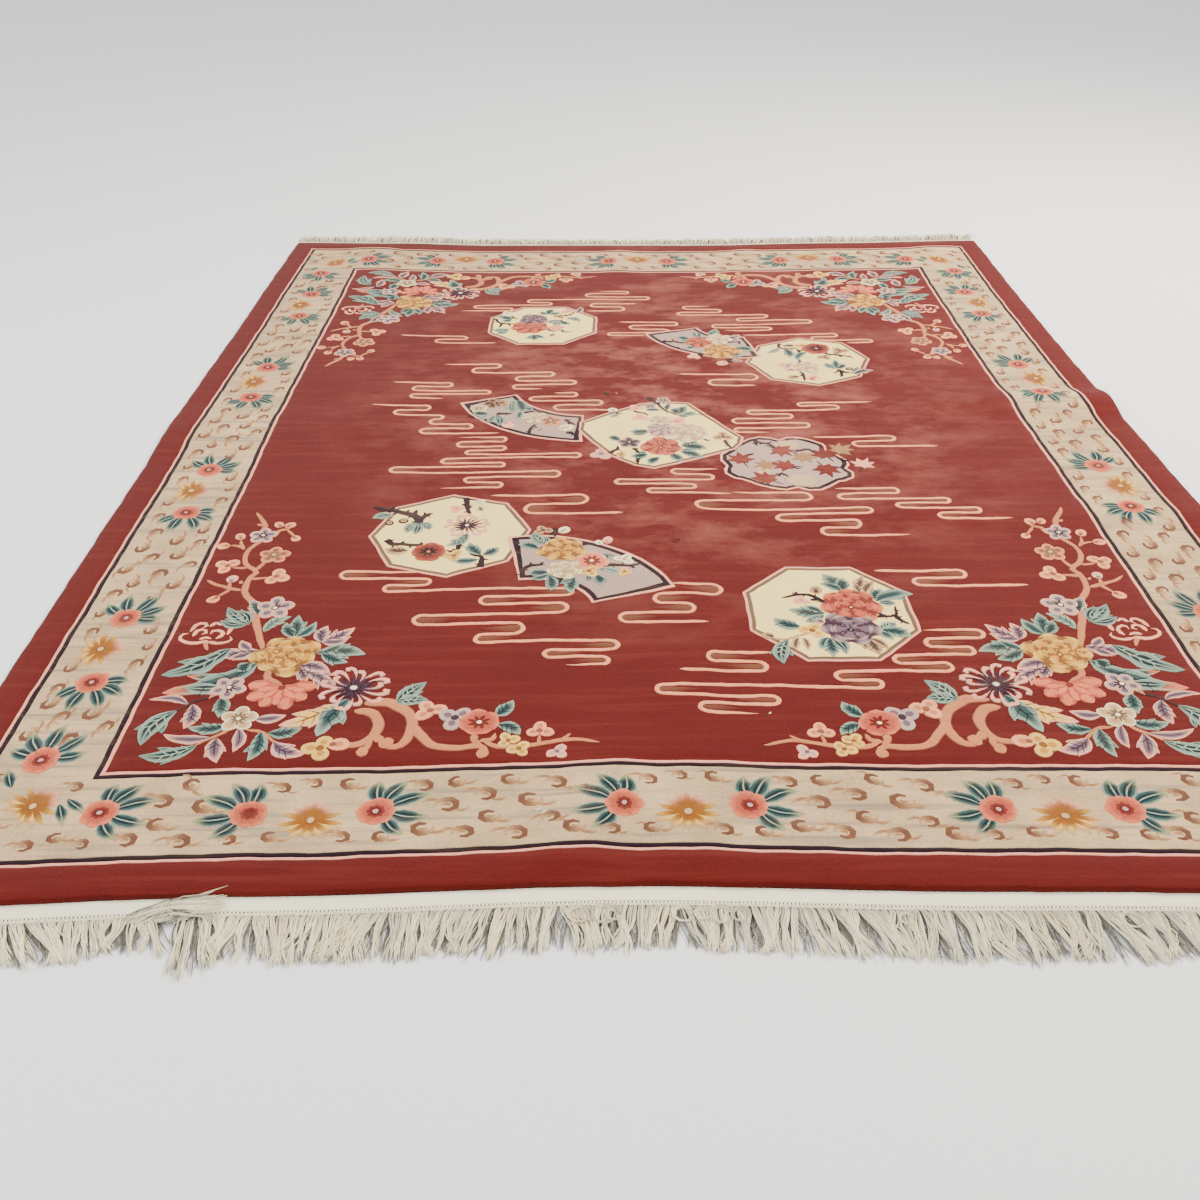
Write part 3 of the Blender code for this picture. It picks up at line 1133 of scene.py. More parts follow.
@dataclass(frozen=True)
class Ground:
    """The foundation sheet, and the zones of pile that stand on it."""

    foundation: float = 3.0 * MM     # knotted foundation under the wool
    cell: float = 21.0 * MM
    foundation_cell: float = 38.0 * MM
    groove: float = 1.3 * MM         # how far a zone's edge is clipped round
    rim: float = 4.5 * MM            # the same along the rug's own edge
    sunk: float = 0.2 * MM           # how deep the wool is rooted in the foundation

    def corner(self, number: int, inset: float) -> Vector:
        """Corner of a frame, counted from the near left one against the clock.

        Args:
            number: which corner.
            inset: how far the frame lies inside the pile's edge.

        Returns:
            The corner.
        """
        sign_x = -1 if number % 4 in (0, 3) else 1
        sign_y = -1 if number % 4 in (0, 1) else 1
        return Vector((sign_x * (HALF_WIDTH - inset), sign_y * (HALF_LENGTH - inset)))

    def plain_grid(self, inset: float, cell: float) -> Shape:
        """A flat grid over all that lies inside an inset.

        Args:
            inset: how far it lies inside the pile's edge.
            cell: about how large its cells are.

        Returns:
            The grid.
        """
        width, length = 2 * (HALF_WIDTH - inset), 2 * (HALF_LENGTH - inset)
        shape = bmesh.new()
        bmesh.ops.create_grid(
            shape, x_segments=round(width / cell), y_segments=round(length / cell), size=0.5
        )
        bmesh.ops.scale(shape, verts=shape.verts, vec=(width, length, 1.0))
        return shape

    def frame_grid(self, outer: float, inner: float) -> Shape:
        """A flat, mitred frame of four grids, welded at its corners.

        Args:
            outer: the inset of its outer edge.
            inner: the inset of its inner edge.

        Returns:
            The frame.
        """
        shape = bmesh.new()
        for side in range(4):
            run = (self.corner(side + 1, outer) - self.corner(side, outer)).length
            made = bmesh.ops.create_grid(
                shape, x_segments=round(run / self.cell),
                y_segments=max(1, round((inner - outer) / self.cell)), size=0.5,
            )
            for vert in made["verts"]:
                inset = outer + (vert.co.y + 0.5) * (inner - outer)
                start, end = self.corner(side, inset), self.corner(side + 1, inset)
                vert.co = start.lerp(end, vert.co.x + 0.5).to_3d()
        bmesh.ops.remove_doubles(shape, verts=shape.verts, dist=0.05 * MM)
        return shape

    def thicken(self, shape: Shape, bottom: float, top: float) -> set:
        """Make a closed slab of a flat sheet.

        Args:
            shape: the sheet.
            bottom: height of the slab's underside.
            top: height of its upper side.

        Returns:
            The upper side's faces.
        """
        bmesh.ops.translate(shape, verts=shape.verts, vec=(0.0, 0.0, bottom))
        raised = bmesh.ops.extrude_face_region(shape, geom=list(shape.faces), use_keep_orig=True)["geom"]
        verts = [item for item in raised if isinstance(item, bmesh.types.BMVert)]
        bmesh.ops.translate(shape, verts=verts, vec=(0.0, 0.0, top - bottom))
        bmesh.ops.recalc_face_normals(shape, faces=shape.faces)
        return {item for item in raised if isinstance(item, bmesh.types.BMFace)}

    def clip_edges(self, shape: Shape, top_faces: set, outer_rim: bool) -> None:
        """Clip a slab's upper edges round.

        Args:
            shape: the slab.
            top_faces: its upper side's faces.
            outer_rim: whether its outer edge is the rug's own.
        """
        edges = [e for e in shape.edges if sum(face in top_faces for face in e.link_faces) == 1]
        own = []
        if outer_rim:
            own = [
                e for e in edges
                if all(abs(v.co.x) > HALF_WIDTH - MM or abs(v.co.y) > HALF_LENGTH - MM for v in e.verts)
            ]
        for chosen, offset in ((own, self.rim), ([e for e in edges if e not in set(own)], self.groove)):
            if chosen:
                bmesh.ops.bevel(
                    shape, geom=chosen, offset=offset, segments=2, profile=0.5, affect="EDGES",
                    material=-1,
                )

    def build_foundation(self, material: Material) -> Piece:
        """Build the knotted foundation, whose back is the rug's underside.

        Args:
            material: its finish.

        Returns:
            The piece.
        """
        shape = self.plain_grid(1.5 * MM, self.foundation_cell)
        self.thicken(shape, -PILE_THICKNESS, self.foundation - PILE_THICKNESS)
        dye_all(shape, Dye.BRICK_DEEP)
        return finish_piece("knotted_foundation", shape, material, "wool_pile")

    def build_zone(self, zone: Zone, material: Material) -> Piece:
        """Build one zone of plain pile.

        Args:
            zone: which one.
            material: its finish.

        Returns:
            The piece.
        """
        if zone.inner is None:
            shape = self.plain_grid(zone.outer, self.cell)
        else:
            shape = self.frame_grid(zone.outer, zone.inner)
        top = self.thicken(shape, self.foundation - PILE_THICKNESS - self.sunk, 0.0)
        self.clip_edges(shape, top, zone.outer == 0.0)
        dye_all(shape, zone.dye)
        return finish_piece(zone.name, shape, material, "wool_pile")


# --- the border's motifs ---
FAN_LEAF = (Dye.SEA_GREEN, Dye.TEAL, Dye.TEAL_DEEP, Dye.PALE_GREEN)
PINK_PETAL = (Dye.SALMON, Dye.PINK, Dye.PINK)
LOTUS = (Dye.OCHRE_END, Dye.OCHRE, Dye.OCHRE)
LINED_LOTUS = (Dye.PALE_PINK, Dye.OCHRE, Dye.OCHRE)
PALE_LOTUS = (Dye.SAND, Dye.OCHRE_END, Dye.STRAW)


@dataclass(frozen=True)
class BorderDrawing:
    """The border's repeat: a gold lotus between two pink flowers with leaf fans, and cloud marks."""

    middle: float = 0.1663          # inset of the border's middle line
    side_step: float = 0.61         # between groups along a long side
    end_step: float = 0.592         # between groups along an end
    side_gap: float = 1.128         # the last gap's middle along a long side
    end_gap: float = 0.812          # the same along an end
    pink_away: float = 0.100
    pink_radius: float = 0.031
    # Cloud marks in the gap between two groups, from its middle: x, y, turn, size.
    marks: Table = (
        (-0.130, 0.056, 10, 1.0), (-0.116, -0.044, 190, 1.1), (-0.088, 0.010, 0, 1.2),
        (-0.072, 0.062, 185, 1.0), (-0.058, -0.054, 5, 1.1), (-0.028, 0.030, 0, 1.15),
        (-0.014, -0.022, 180, 1.1), (0.014, 0.064, 170, 1.0), (0.024, -0.060, 0, 1.15),
        (0.050, 0.014, 185, 1.25), (0.078, -0.030, 10, 1.0), (0.086, 0.054, 0, 1.1),
        (0.120, -0.056, 180, 1.1), (0.132, 0.028, 15, 0.95),
    )
    # The same round a group, from its lotus.
    group_marks: Table = (
        (-0.062, 0.056, 0, 0.95), (0.050, 0.062, 180, 1.0), (-0.010, 0.066, 0, 0.8),
        (-0.054, -0.054, 185, 0.9), (0.052, -0.056, 0, 0.95), (0.118, -0.058, 180, 0.9),
        (-0.122, -0.060, 10, 0.9),
    )
    # The same in the near left corner, on the rug.
    corner_marks: Table = (
        (-1.118, -1.402, 20, 0.9), (-1.085, -1.372, 200, 0.9), (-1.120, -1.335, 0, 0.85),
        (-1.022, -1.418, 10, 0.9), (-0.975, -1.402, 190, 0.9), (-0.990, -1.288, 0, 0.85),
        (-1.118, -1.262, 180, 0.8), (-0.935, -1.418, 0, 0.8),
    )
    # A pink flower's leaves: angle, length, width, bow.
    fan: Table = (
        (-46, 0.052, 0.031, -0.09), (92, 0.047, 0.035, 0.06), (58, 0.060, 0.033, 0.09),
        (24, 0.070, 0.031, 0.08), (-10, 0.066, 0.031, -0.07),
    )

    def cloud_mark(self, carving: Carving, spot: Spot) -> None:
        """Press a brown, brushed curl and the thin wisps that leave it.

        Args:
            carving: what it is pressed into.
            spot: where it lies.
        """
        brushed = ((0, 0.3), (0.25, 0.85), (0.5, 1.0), (0.8, 0.8), (1, 0.25))
        dark, soft = (Dye.SAND, Dye.MARK), (Dye.SAND, Dye.MARK_SOFT)
        strokes = [
            (((-4, -9), (8, -11), (15, -3), (9, 7), (-3, 9), (-13, 4), (-13, -3)), 7.2, dark, 0.36),
            (((7, -2), (1, 1), (-6, 0)), 3.6, soft, 0.33),
            (((-8, 10), (-19, 11), (-32, 7)), 3.8, soft, 0.28),
        ]
        if carving.chance.random() < 0.5:
            strokes.append((((12, -11), (22, -13), (33, -9)), 2.8, soft, 0.32))
        for path, half, dyes, height in strokes:
            carving.band(
                spot, np.array(path) * MM, half * MM, dyes, height, widths=brushed, stations=7,
                fade=(0.45, Dye.SAND),
            )

    def pink_flower(self, carving: Carving, spot: Spot, side: int) -> None:
        """Press a pink flower with its fan of leaves.

        Args:
            carving: what it is pressed into.
            spot: where it lies.
            side: 1 for leaves towards +x, -1 for -x.
        """
        for angle, length, width, bow in self.fan:
            lean = angle if side > 0 else 180 - angle
            root = self.pink_radius * 0.68 * heading(lean)
            carving.leaf(
                spot, root, lean, length, width, FAN_LEAF, bend=bow * side, height=0.45,
                fade=(0.62, Dye.LEAF_END),
            )
        carving.rosette(
            spot, (0, 0), self.pink_radius, 8, PINK_PETAL, 0.7, inner=0.15, fullness=1.5,
            fade=(0.45, Dye.SALMON),
        )
        for radius, dye, height, lobes in (
            (17.0, Dye.ROSE, 1.0, 8), (11.5, Dye.CORAL_RED, 1.1, 8), (5.2, Dye.LILAC, 1.2, 0)
        ):
            shape = {"lobes": lobes, "depth": 0.22, "rings": DOT_RINGS}
            carving.disc(spot, (0, 0), radius * MM, (dye,), height, **shape)

    def lotus(self, carving: Carving, spot: Spot) -> None:
        """Press a gold lotus, seen from its side, whose tall petals point to the chart's +y.

        Args:
            carving: what it is pressed into.
            spot: where it lies.
        """
        for angle, length, width, height, dyes in (
            (-90, 35, 20, 0.34, PALE_LOTUS), (-54, 42, 18, 0.38, PALE_LOTUS),
            (-24, 50, 16, 0.42, PALE_LOTUS), (-74, 25, 13, 0.52, LOTUS), (-40, 34, 13, 0.56, LOTUS),
            (-8, 47, 13, 0.60, LOTUS), (20, 43, 14, 0.66, LOTUS), (45, 38, 14, 0.74, LINED_LOTUS),
            (68, 38, 13, 0.80, LINED_LOTUS), (90, 44, 13, 0.86, LINED_LOTUS),
        ):
            for lean in {angle, 180 - angle if angle != -90 else angle}:
                carving.petal(
                    spot, 0.006 * heading(lean), lean, length * MM, width * MM, dyes, height,
                    widths=LOTUS_WIDTHS, fade=(0.35, dyes[0]),
                )
        carving.disc(spot, (0, 0), 0.0105, (Dye.AMBER,), 1.05, lobes=8, rings=DOT_RINGS)
        carving.disc(spot, (0, 0), 0.0070, (Dye.LEAF_END, Dye.BEIGE), 1.2, spokes=10, rings=DOT_RINGS)

    def group(self, carving: Carving, base: Spot) -> None:
        """Press one group of the border, whose chart's +y faces the field.

        Args:
            carving: what it is pressed into.
            base: where the group lies.
        """
        for mark in self.group_marks:
            self.cloud_mark(carving, base.moved(*mark))
        self.lotus(carving, base.moved(0.0, -0.020))
        self.pink_flower(carving, base.moved(-self.pink_away, -0.004), -1)
        self.pink_flower(carving, base.moved(self.pink_away, -0.002), 1)

    def gap(self, carving: Carving, base: Spot, reach: float = 0.14) -> None:
        """Press the cloud marks between two groups.

        Args:
            carving: what it is pressed into.
            base: where the gap's middle lies.
            reach: how far the marks go to both sides.
        """
        for x, y, turn, size in self.marks:
            if abs(x) <= reach:
                self.cloud_mark(carving, base.moved(x, y, turn + carving.chance.normal(0, 8), size))

    def corner_group(self, carving: Carving, rug: Spot) -> None:
        """Press the group in one corner. The chart is the near left corner's, mirrored by the spot.

        Args:
            carving: what it is pressed into.
            rug: the rug's own chart, or a mirrored one.
        """
        for mark in self.corner_marks:
            self.cloud_mark(carving, rug.moved(*mark))
        self.lotus(carving, rug.moved(-1.040, -1.330, -45, 0.95))
        self.pink_flower(carving, rug.moved(-1.068, -1.222, 60), 1)
        self.pink_flower(carving, rug.moved(-0.928, -1.352, -8), 1)
        for x, y, angle in ((-0.990, -1.318, -42), (-0.998, -1.330, -66), (-1.090, -1.285, 120)):
            carving.leaf(rug, (x, y), angle, 0.050, 0.020, FAN_LEAF, height=0.5, fade=(0.5, Dye.LEAF_END))

    def build(self, material: Material) -> list[Piece]:
        """Build the border's motifs, one piece to a side.

        Args:
            material: their finish.

        Returns:
            The pieces.
        """
        pieces = []
        line_x, line_y = HALF_WIDTH - self.middle, HALF_LENGTH - self.middle
        for name, sign, turn in (("left", -1, -90), ("right", 1, 90)):
            carving = Carving(f"border_motifs_{name}", seed=11 + sign)
            for number in range(4):
                self.group(carving, Spot(sign * line_x, (number - 1.5) * self.side_step, turn))
            for number in range(3):
                self.gap(carving, Spot(sign * line_x, (number - 1) * self.side_step, turn))
            for end in (-1, 1):
                self.gap(carving, Spot(sign * line_x, end * self.side_gap, turn), reach=0.07)
            pieces.append(carving.finish(material))
        for name, sign, turn in (("near", -1, 0), ("far", 1, 180)):
            carving = Carving(f"border_motifs_{name}", seed=21 + sign)
            for number in range(3):
                self.group(carving, Spot((number - 1) * self.end_step, sign * line_y, turn))
            for number in range(2):
                self.gap(carving, Spot((number - 0.5) * self.end_step, sign * line_y, turn))
            for side in (-1, 1):
                self.gap(carving, Spot(side * self.end_gap, sign * line_y, turn), reach=0.065)
                self.corner_group(carving, Spot(flip_x=side > 0, flip_y=sign > 0))
            pieces.append(carving.finish(material))
        return pieces


# --- flowers, leaves and twigs of the field ---
class Foliage(Enum):
    """Dyes of a leaf: its rim, outer lane, heart, vein, and the heart towards the tip."""

    TEAL = (Dye.PALE_GREEN, Dye.SEA_GREEN, Dye.TEAL, Dye.TEAL_DEEP, Dye.PALE_GREEN)
    DARK = (Dye.PALE_GREEN, Dye.SEA_GREEN, Dye.TEAL_DEEP, Dye.PALE_GREEN, Dye.SEA_GREEN)
    PALE = (Dye.LEAF_END, Dye.PALE_GREEN, Dye.SEA_GREEN, Dye.TEAL, Dye.PALE_GREEN)
    LILAC = (Dye.PALE_PINK, Dye.LILAC, Dye.LILAC_DEEP, Dye.PURPLE, Dye.PALE_PINK)
    GREY = (Dye.PALE_PINK, Dye.LILAC, Dye.TEAL, Dye.TEAL_DEEP, Dye.LILAC)
    CREAM = (Dye.PALE_PINK, Dye.STRAW, Dye.STRAW, Dye.AMBER, Dye.PALE_PINK)
    TAN = (Dye.SAND, Dye.BEIGE, Dye.TAN, Dye.BARK, Dye.SAND)
    BLUSH = (Dye.PALE_GREEN, Dye.SEA_GREEN, Dye.TEAL, Dye.TEAL_DEEP, Dye.SALMON)


class Bloom(Enum):
    """Dyes of a flower: a petal's rim, body and shaded root, and its eye's ring and middle."""

    GOLD = (Dye.STRAW, Dye.GOLD, Dye.AMBER, Dye.AMBER, Dye.STRAW)
    PINK = (Dye.SALMON, Dye.PINK, Dye.ROSE, Dye.CORAL_RED, Dye.IVORY)
    SALMON = (Dye.PALE_PINK, Dye.SALMON, Dye.PINK, Dye.ROSE, Dye.IVORY)
    ROSE = (Dye.PINK, Dye.ROSE, Dye.CORAL_RED, Dye.PLUM, Dye.SALMON)
    IVORY = (Dye.IVORY, Dye.BEIGE, Dye.SAND, Dye.TAN, Dye.IVORY)
    LILAC = (Dye.PALE_PINK, Dye.LILAC, Dye.LILAC_DEEP, Dye.PURPLE, Dye.IVORY)
    PURPLE = (Dye.LILAC, Dye.LILAC_DEEP, Dye.PURPLE, Dye.PLUM, Dye.PALE_GREEN)
    YELLOW = (Dye.STRAW, Dye.GOLD, Dye.AMBER, Dye.AMBER, Dye.CREAM)
    PEACH = (Dye.RIBBON, Dye.BOUGH, Dye.BOUGH_EDGE, Dye.TAN, Dye.PALE_PINK)
    BOUGH = (Dye.BOUGH, Dye.BOUGH, Dye.BOUGH, Dye.BOUGH, Dye.BOUGH)
    BROWN = (Dye.MARK_SOFT, Dye.MARK_SOFT, Dye.MARK, Dye.MARK, Dye.SAND)
    STAIN = (Dye.ASH, Dye.BEIGE, Dye.BEIGE, Dye.BEIGE, Dye.BEIGE)
    TAN = (Dye.SAND, Dye.TAN, Dye.BARK, Dye.BARK, Dye.SAND)
    RUST = (Dye.ROSE, Dye.ROSE, Dye.CORAL_RED, Dye.CORAL_RED, Dye.ROSE)
    CORAL = (Dye.CORAL_RED, Dye.CORAL_RED, Dye.BRICK, Dye.BRICK, Dye.CORAL_RED)
    BLUSH = (Dye.PALE_PINK, Dye.PALE_PINK, Dye.SALMON, Dye.SALMON, Dye.PALE_PINK)


class Stalk(Enum):
    """Dyes of a stalk: its rim and its top."""

    SCROLL = (Dye.BOUGH_EDGE, Dye.BOUGH)
    CURL = (Dye.BOUGH, Dye.PALE_PINK)
    TWIG = (Dye.TWIG, Dye.TWIG)
    BARK = (Dye.TWIG, Dye.BARK)
    TAN = (Dye.TAN, Dye.SAND)


class Form(Enum):
    """Forms of a flower."""

    PEONY = "peony"
    BLOSSOM = "blossom"
    DAISY = "daisy"
    MUM = "mum"
    OPEN = "open"
    BUD = "bud"
    TRIO = "trio"
    RING = "ring"
    MAPLE = "maple"
    STAIN = "stain"


@dataclass(frozen=True)
class Levels:
    """How proud things stand, in millimetres."""

    ribbon_drop: float = 0.35
    ribbon: float = 0.60
    plate: float = 0.85
    upper_plate: float = 1.15
    twig: float = 1.45
    leaf: float = 1.70
    flower: float = 2.00


LEVELS = Levels()


@dataclass
class Gardener:
    """Presses charted leaves, flowers and stalks into a piece.

    A chart is in whole millimetres, and a turn is in degrees. The methods named for a form take a
    flower's middle, radius, dyes, turn and height in metres, as flower() gives them.
    """

    carving: Carving
    spot: Spot = Spot()
    lower: float = 0.0       # taken off every height, where nothing lies beneath

    def leaf(
        self, x: float, y: float, tip_x: float, tip_y: float, width: float, bow: float, kind: Foliage
    ) -> None:
        """Press a leaf from its stalk's end to its tip.

        Args:
            x, y: where it starts.
            tip_x, tip_y: where it ends.
            width: its greatest width.
            bow: how far it bows to its left, as thousandths of its length.
            kind: its dyes.
        """
        length = math.hypot(tip_x - x, tip_y - y) * MM
        angle = math.degrees(math.atan2(tip_y - y, tip_x - x))
        *dyes, tip = kind.value
        self.carving.leaf(
            self.spot, (x * MM, y * MM), angle, length, 1.16 * width * MM, tuple(dyes), bend=bow * MM,
            height=LEVELS.leaf - self.lower, scallops=2.5 if width > 36 else 0.0, fade=(0.62, tip),
            veined=width > 23,
        )

    def stalk(self, width: float, kind: Stalk, *numbers: float) -> None:
        """Press a stalk along a line.

        Args:
            width: its width at its root.
            kind: its dyes.
            numbers: x and y of each point in turn.
        """
        path = np.array(numbers, float).reshape(-1, 2) * MM
        length = float(np.linalg.norm(np.diff(path, axis=0), axis=1).sum())
        stations = int(min(26, max(5, length / 0.009)))
        wood = kind is Stalk.TWIG
        thick = (2.2 if wood else 1.9 if width > 9 else 1.7) * width * MM
        height = LEVELS.twig - self.lower
        self.carving.band(
            self.spot, path, thick / 2, kind.value, height, stations=stations,
            widths=TWIG_WIDTHS if wood else BOUGH_WIDTHS,
        )
        if wood and length > 0.03:
            line = smooth_path(path, stations)
            side = sideways(line)
            for number in range(1, stations - 1, 2):
                away = side[number] * (1 if number % 4 == 1 else -1) * (thick / 2 + 3.0 * MM)
                self.carving.band(
                    self.spot, (line[number], line[number] + away), thick * 0.26, kind.value, height,
                    widths=((0, 1), (1, 0.3)), stations=2,
                )

    def flower(
        self, x: float, y: float, radius: float, form: Form, bloom: Bloom, turn: float = 90.0
    ) -> None:
        """Press a flower.

        Args:
            x, y: its middle.
            radius: its radius.
            form: its form.
            bloom: its dyes.
            turn: the direction it faces.
        """
        draw = getattr(self, f"_{form.value}")
        draw(np.array((x, y)) * MM, radius * MM, bloom.value, turn, LEVELS.flower - self.lower)

    def _eye(self, at: Place, radius: float, height: float, *rings: tuple[float, Dye]) -> None:
        """Press a flower's eye.

        Args:
            at: its middle on the chart.
            radius: the flower's radius.
            height: how proud it stands.
            rings: pairs of a share of the radius and a dye.
        """
        for number, (share, dye) in enumerate(rings):
            self.carving.disc(
                self.spot, at, radius * share, (dye,), height + 0.15 * number, spokes=10, rings=DOT_RINGS,
            )

    def _peony(self, at: Place, radius: float, dyes: Dyes, turn: float, height: float) -> None:
        """A full flower of four loose rings of ruffled petals that lean over a cupped heart.

        Args:
            at: its middle on the chart.
            radius: its radius.
            dyes: its dyes.
            turn: the direction it faces.
            height: how proud it stands.
        """
        rim, body, shade, ring, eye = dyes
        self.carving.disc(self.spot, at, radius * 0.78, (shade,), height - 0.5, lobes=9)
        for share, petals, back, twist in (
            (1.0, 7, 0.0, 0), (0.78, 6, 0.08, 28), (0.56, 5, 0.14, 8), (0.35, 4, 0.19, 40)
        ):
            height += 0.16
            middle = at - back * radius * heading(turn)
            self.carving.rosette(
                self.spot, middle, radius * share, petals, (shade, shade, body), height,
                start=turn + twist, inner=0.24, fullness=1.22, fade=(0.70, rim), loose=0.10, scallops=2.2,
            )
        self._eye(middle, radius, height + 0.2, (0.13, ring), (0.05, eye))

    def _blossom(self, at: Place, radius: float, dyes: Dyes, turn: float, height: float) -> None:
        """Five round petals round a ringed eye.

        Args:
            at: its middle on the chart.
            radius: its radius.
            dyes: its dyes.
            turn: the direction it faces.
            height: how proud it stands.
        """
        rim, body, shade, ring, eye = dyes
        for angle in turn + 72 * np.arange(5):
            self.carving.disc(
                self.spot, at + 0.56 * radius * heading(angle), radius * 0.43, (rim, body, shade), height,
                spokes=12, stretch=1.1, turn=angle,
            )
        self.carving.rosette(
            self.spot, at, radius * 0.52, 10, (shade, ring, ring), height + 0.15, inner=0.1, fullness=0.7,
            widths=LOTUS_WIDTHS,
        )
        self._eye(at, radius, height + 0.3, (0.24, ring), (0.15, eye))

    def _daisy(self, at: Place, radius: float, dyes: Dyes, turn: float, height: float) -> None:
        """Seven blunt petals round a dark, rayed eye.

        Args:
            at: its middle on the chart.
            radius: its radius.
            dyes: its dyes.
            turn: the direction it faces.
            height: how proud it stands.
        """
        rim, body, shade, ring, eye = dyes
        self.carving.rosette(
            self.spot, at, radius, 7, (shade, body, body), height, start=turn, inner=0.22, fullness=1.3,
            fade=(0.5, rim), loose=0.07,
        )
        self.carving.rosette(
            self.spot, at, radius * 0.55, 8, (shade, ring, ring), height + 0.2, start=turn + 22,
            inner=0.2, fullness=0.8, widths=LOTUS_WIDTHS,
        )
        self._eye(at, radius, height + 0.35, (0.26, ring), (0.14, eye))

    def _mum(self, at: Place, radius: float, dyes: Dyes, turn: float, height: float) -> None:
        """A chrysanthemum: thin petals that curl over at their ends, round a rayed, dark middle.

        Args:
            at: its middle on the chart.
            radius: its radius.
            dyes: its dyes.
            turn: the direction it faces.
            height: how proud it stands.
        """
        rim, body, _, ring, eye = dyes
        hook = np.array(((0.3, 0.0), (0.6, -0.05), (0.85, -0.03), (0.98, 0.06), (0.97, 0.18), (0.86, 0.19)))
        for number in range(15):
            size = radius * (1.0 if number % 3 else 0.80)
            along, across = hook.T * size * ((1.0,), (-1.0 if number % 5 > 2 else 1.0,))
            self.carving.band(
                self.spot, at + turned(along, across, turn + 24 * number), radius * 0.09, (body, rim),
                height, widths=((0, 0.3), (0.4, 0.6), (0.75, 1.1), (0.95, 1.25), (1, 0.7)), stations=9,
            )
        for share, petals in ((0.66, 15), (0.44, 12)):
            height += 0.15
            self.carving.rosette(
                self.spot, at, radius * share, petals, (ring,), height, start=turn, inner=0.3,
                fullness=0.5, widths=LOTUS_WIDTHS,
            )
        self._eye(at, radius, height + 0.2, (0.20, ring), (0.12, eye))

    def _open(self, at: Place, radius: float, dyes: Dyes, turn: float, height: float) -> None:
        """A flower seen from its side: a fan of broad, ruffled petals from a short cup.

        Args:
            at: its middle on the chart.
            radius: its radius.
            dyes: its dyes.
            turn: the direction it faces.
            height: how proud it stands.
        """
        _, body, shade, ring, _ = dyes
        for angle, reach, width in (
            (-100, 1.0, 0.60), (100, 1.0, 0.60), (-62, 0.98, 0.62), (60, 0.92, 0.60), (-26, 0.88, 0.58),
            (22, 0.96, 0.58), (-84, 0.66, 0.42), (84, 0.66, 0.42), (-48, 0.62, 0.36), (48, 0.62, 0.36),
            (0, 0.70, 0.40),
        ):
            height += 0.03
            self.carving.petal(
                self.spot, at, turn + angle, radius * reach, radius * width, (ring, shade, body), height,
                fade=(0.72, body), scallops=2.2,
            )
        self._eye(at, radius, height + 0.3, (0.13, ring))

    def _bud(self, at: Place, radius: float, dyes: Dyes, turn: float, height: float) -> None:
        """A round bud with a small cup.

        Args:
            at: its middle on the chart.
            radius: its radius.
            dyes: its dyes.
            turn: the direction it faces.
            height: how proud it stands.
        """
        rim, body, shade, _, _ = dyes
        self.carving.disc(
            self.spot, at, radius, (rim, rim, body), height, spokes=12, stretch=1.15, turn=turn
        )
        self._eye(at - 0.6 * radius * heading(turn), radius, height + 0.2, (0.42, shade))

    def _trio(self, at: Place, radius: float, dyes: Dyes, turn: float, height: float) -> None:
        """A small flower of three lobes seen from its side.

        Args:
            at: its middle on the chart.
            radius: its radius.
            dyes: its dyes.
            turn: the direction it faces.
            height: how proud it stands.
        """
        rim, body, shade, _, _ = dyes
        for angle in (turn, turn + 105, turn - 105):
            self.carving.disc(
                self.spot, at + 0.55 * radius * heading(angle), radius * 0.55, (rim, rim, body), height,
                spokes=12, stretch=1.15, turn=angle,
            )
        self._eye(at, radius, height + 0.25, (0.30, shade))

    def _ring(self, at: Place, radius: float, dyes: Dyes, turn: float, height: float) -> None:
        """A small open bud drawn as a ring."""
        rim, body, shade, _, _ = dyes
        self._eye(at, radius, height, (1.0, shade), (0.66, rim), (0.25, body))

    def _stain(self, at: Place, radius: float, dyes: Dyes, turn: float, height: float) -> None:
        """A faint yellowed patch in a plain ground."""
        height = LEVELS.plate + 0.15
        self.carving.disc(self.spot, at, radius, dyes[:3], height, lobes=7, stretch=1.3, turn=turn)

    def _maple(self, at: Place, radius: float, dyes: Dyes, turn: float, height: float) -> None:
        """A maple leaf of seven points on a short stalk.

        Args:
            at: its middle on the chart.
            radius: its radius.
            dyes: its dyes.
            turn: the direction it faces.
            height: how proud it stands.
        """
        rim, body, *_ = dyes
        self.stalk(3, Stalk.BARK, *(at / MM), *((at - 1.15 * radius * heading(turn + 12)) / MM))
        for angle, reach in (
            (-140, 0.62), (140, 0.66), (-88, 0.95), (86, 0.98), (-40, 1.02), (42, 1.05), (0, 1.2)
        ):
            self.carving.petal(
                self.spot, at, turn + angle, radius * reach, radius * 0.62, (rim, rim, body),
                height - 0.3, widths=MAPLE_WIDTHS,
            )
        self._eye(at, radius, height - 0.25, (0.40, rim))


@dataclass(frozen=True)
class Chart:
    """A charted sprig: rows for the gardener's leaf, flower and stalk."""

    stalks: tuple = ()
    leaves: tuple = ()
    flowers: tuple = ()

    def press(self, gardener: Gardener) -> None:
        """Press it all, the stalks first.

        Args:
            gardener: who presses it.
        """
        for row in self.stalks:
            gardener.stalk(*row)
        for row in self.leaves:
            gardener.leaf(*row)
        for row in self.flowers:
            gardener.flower(*row)


# Short names for the charts.
TEAL, DARK, PALE, LILAC, GREY, CREAM, TAN, BLUSH = Foliage
SCROLL, CURL, TWIG, BARK, TAN_STALK = Stalk
PEONY, BLOSSOM, DAISY, MUM, OPEN, BUD, TRIO, RING, MAPLE, STAIN = Form

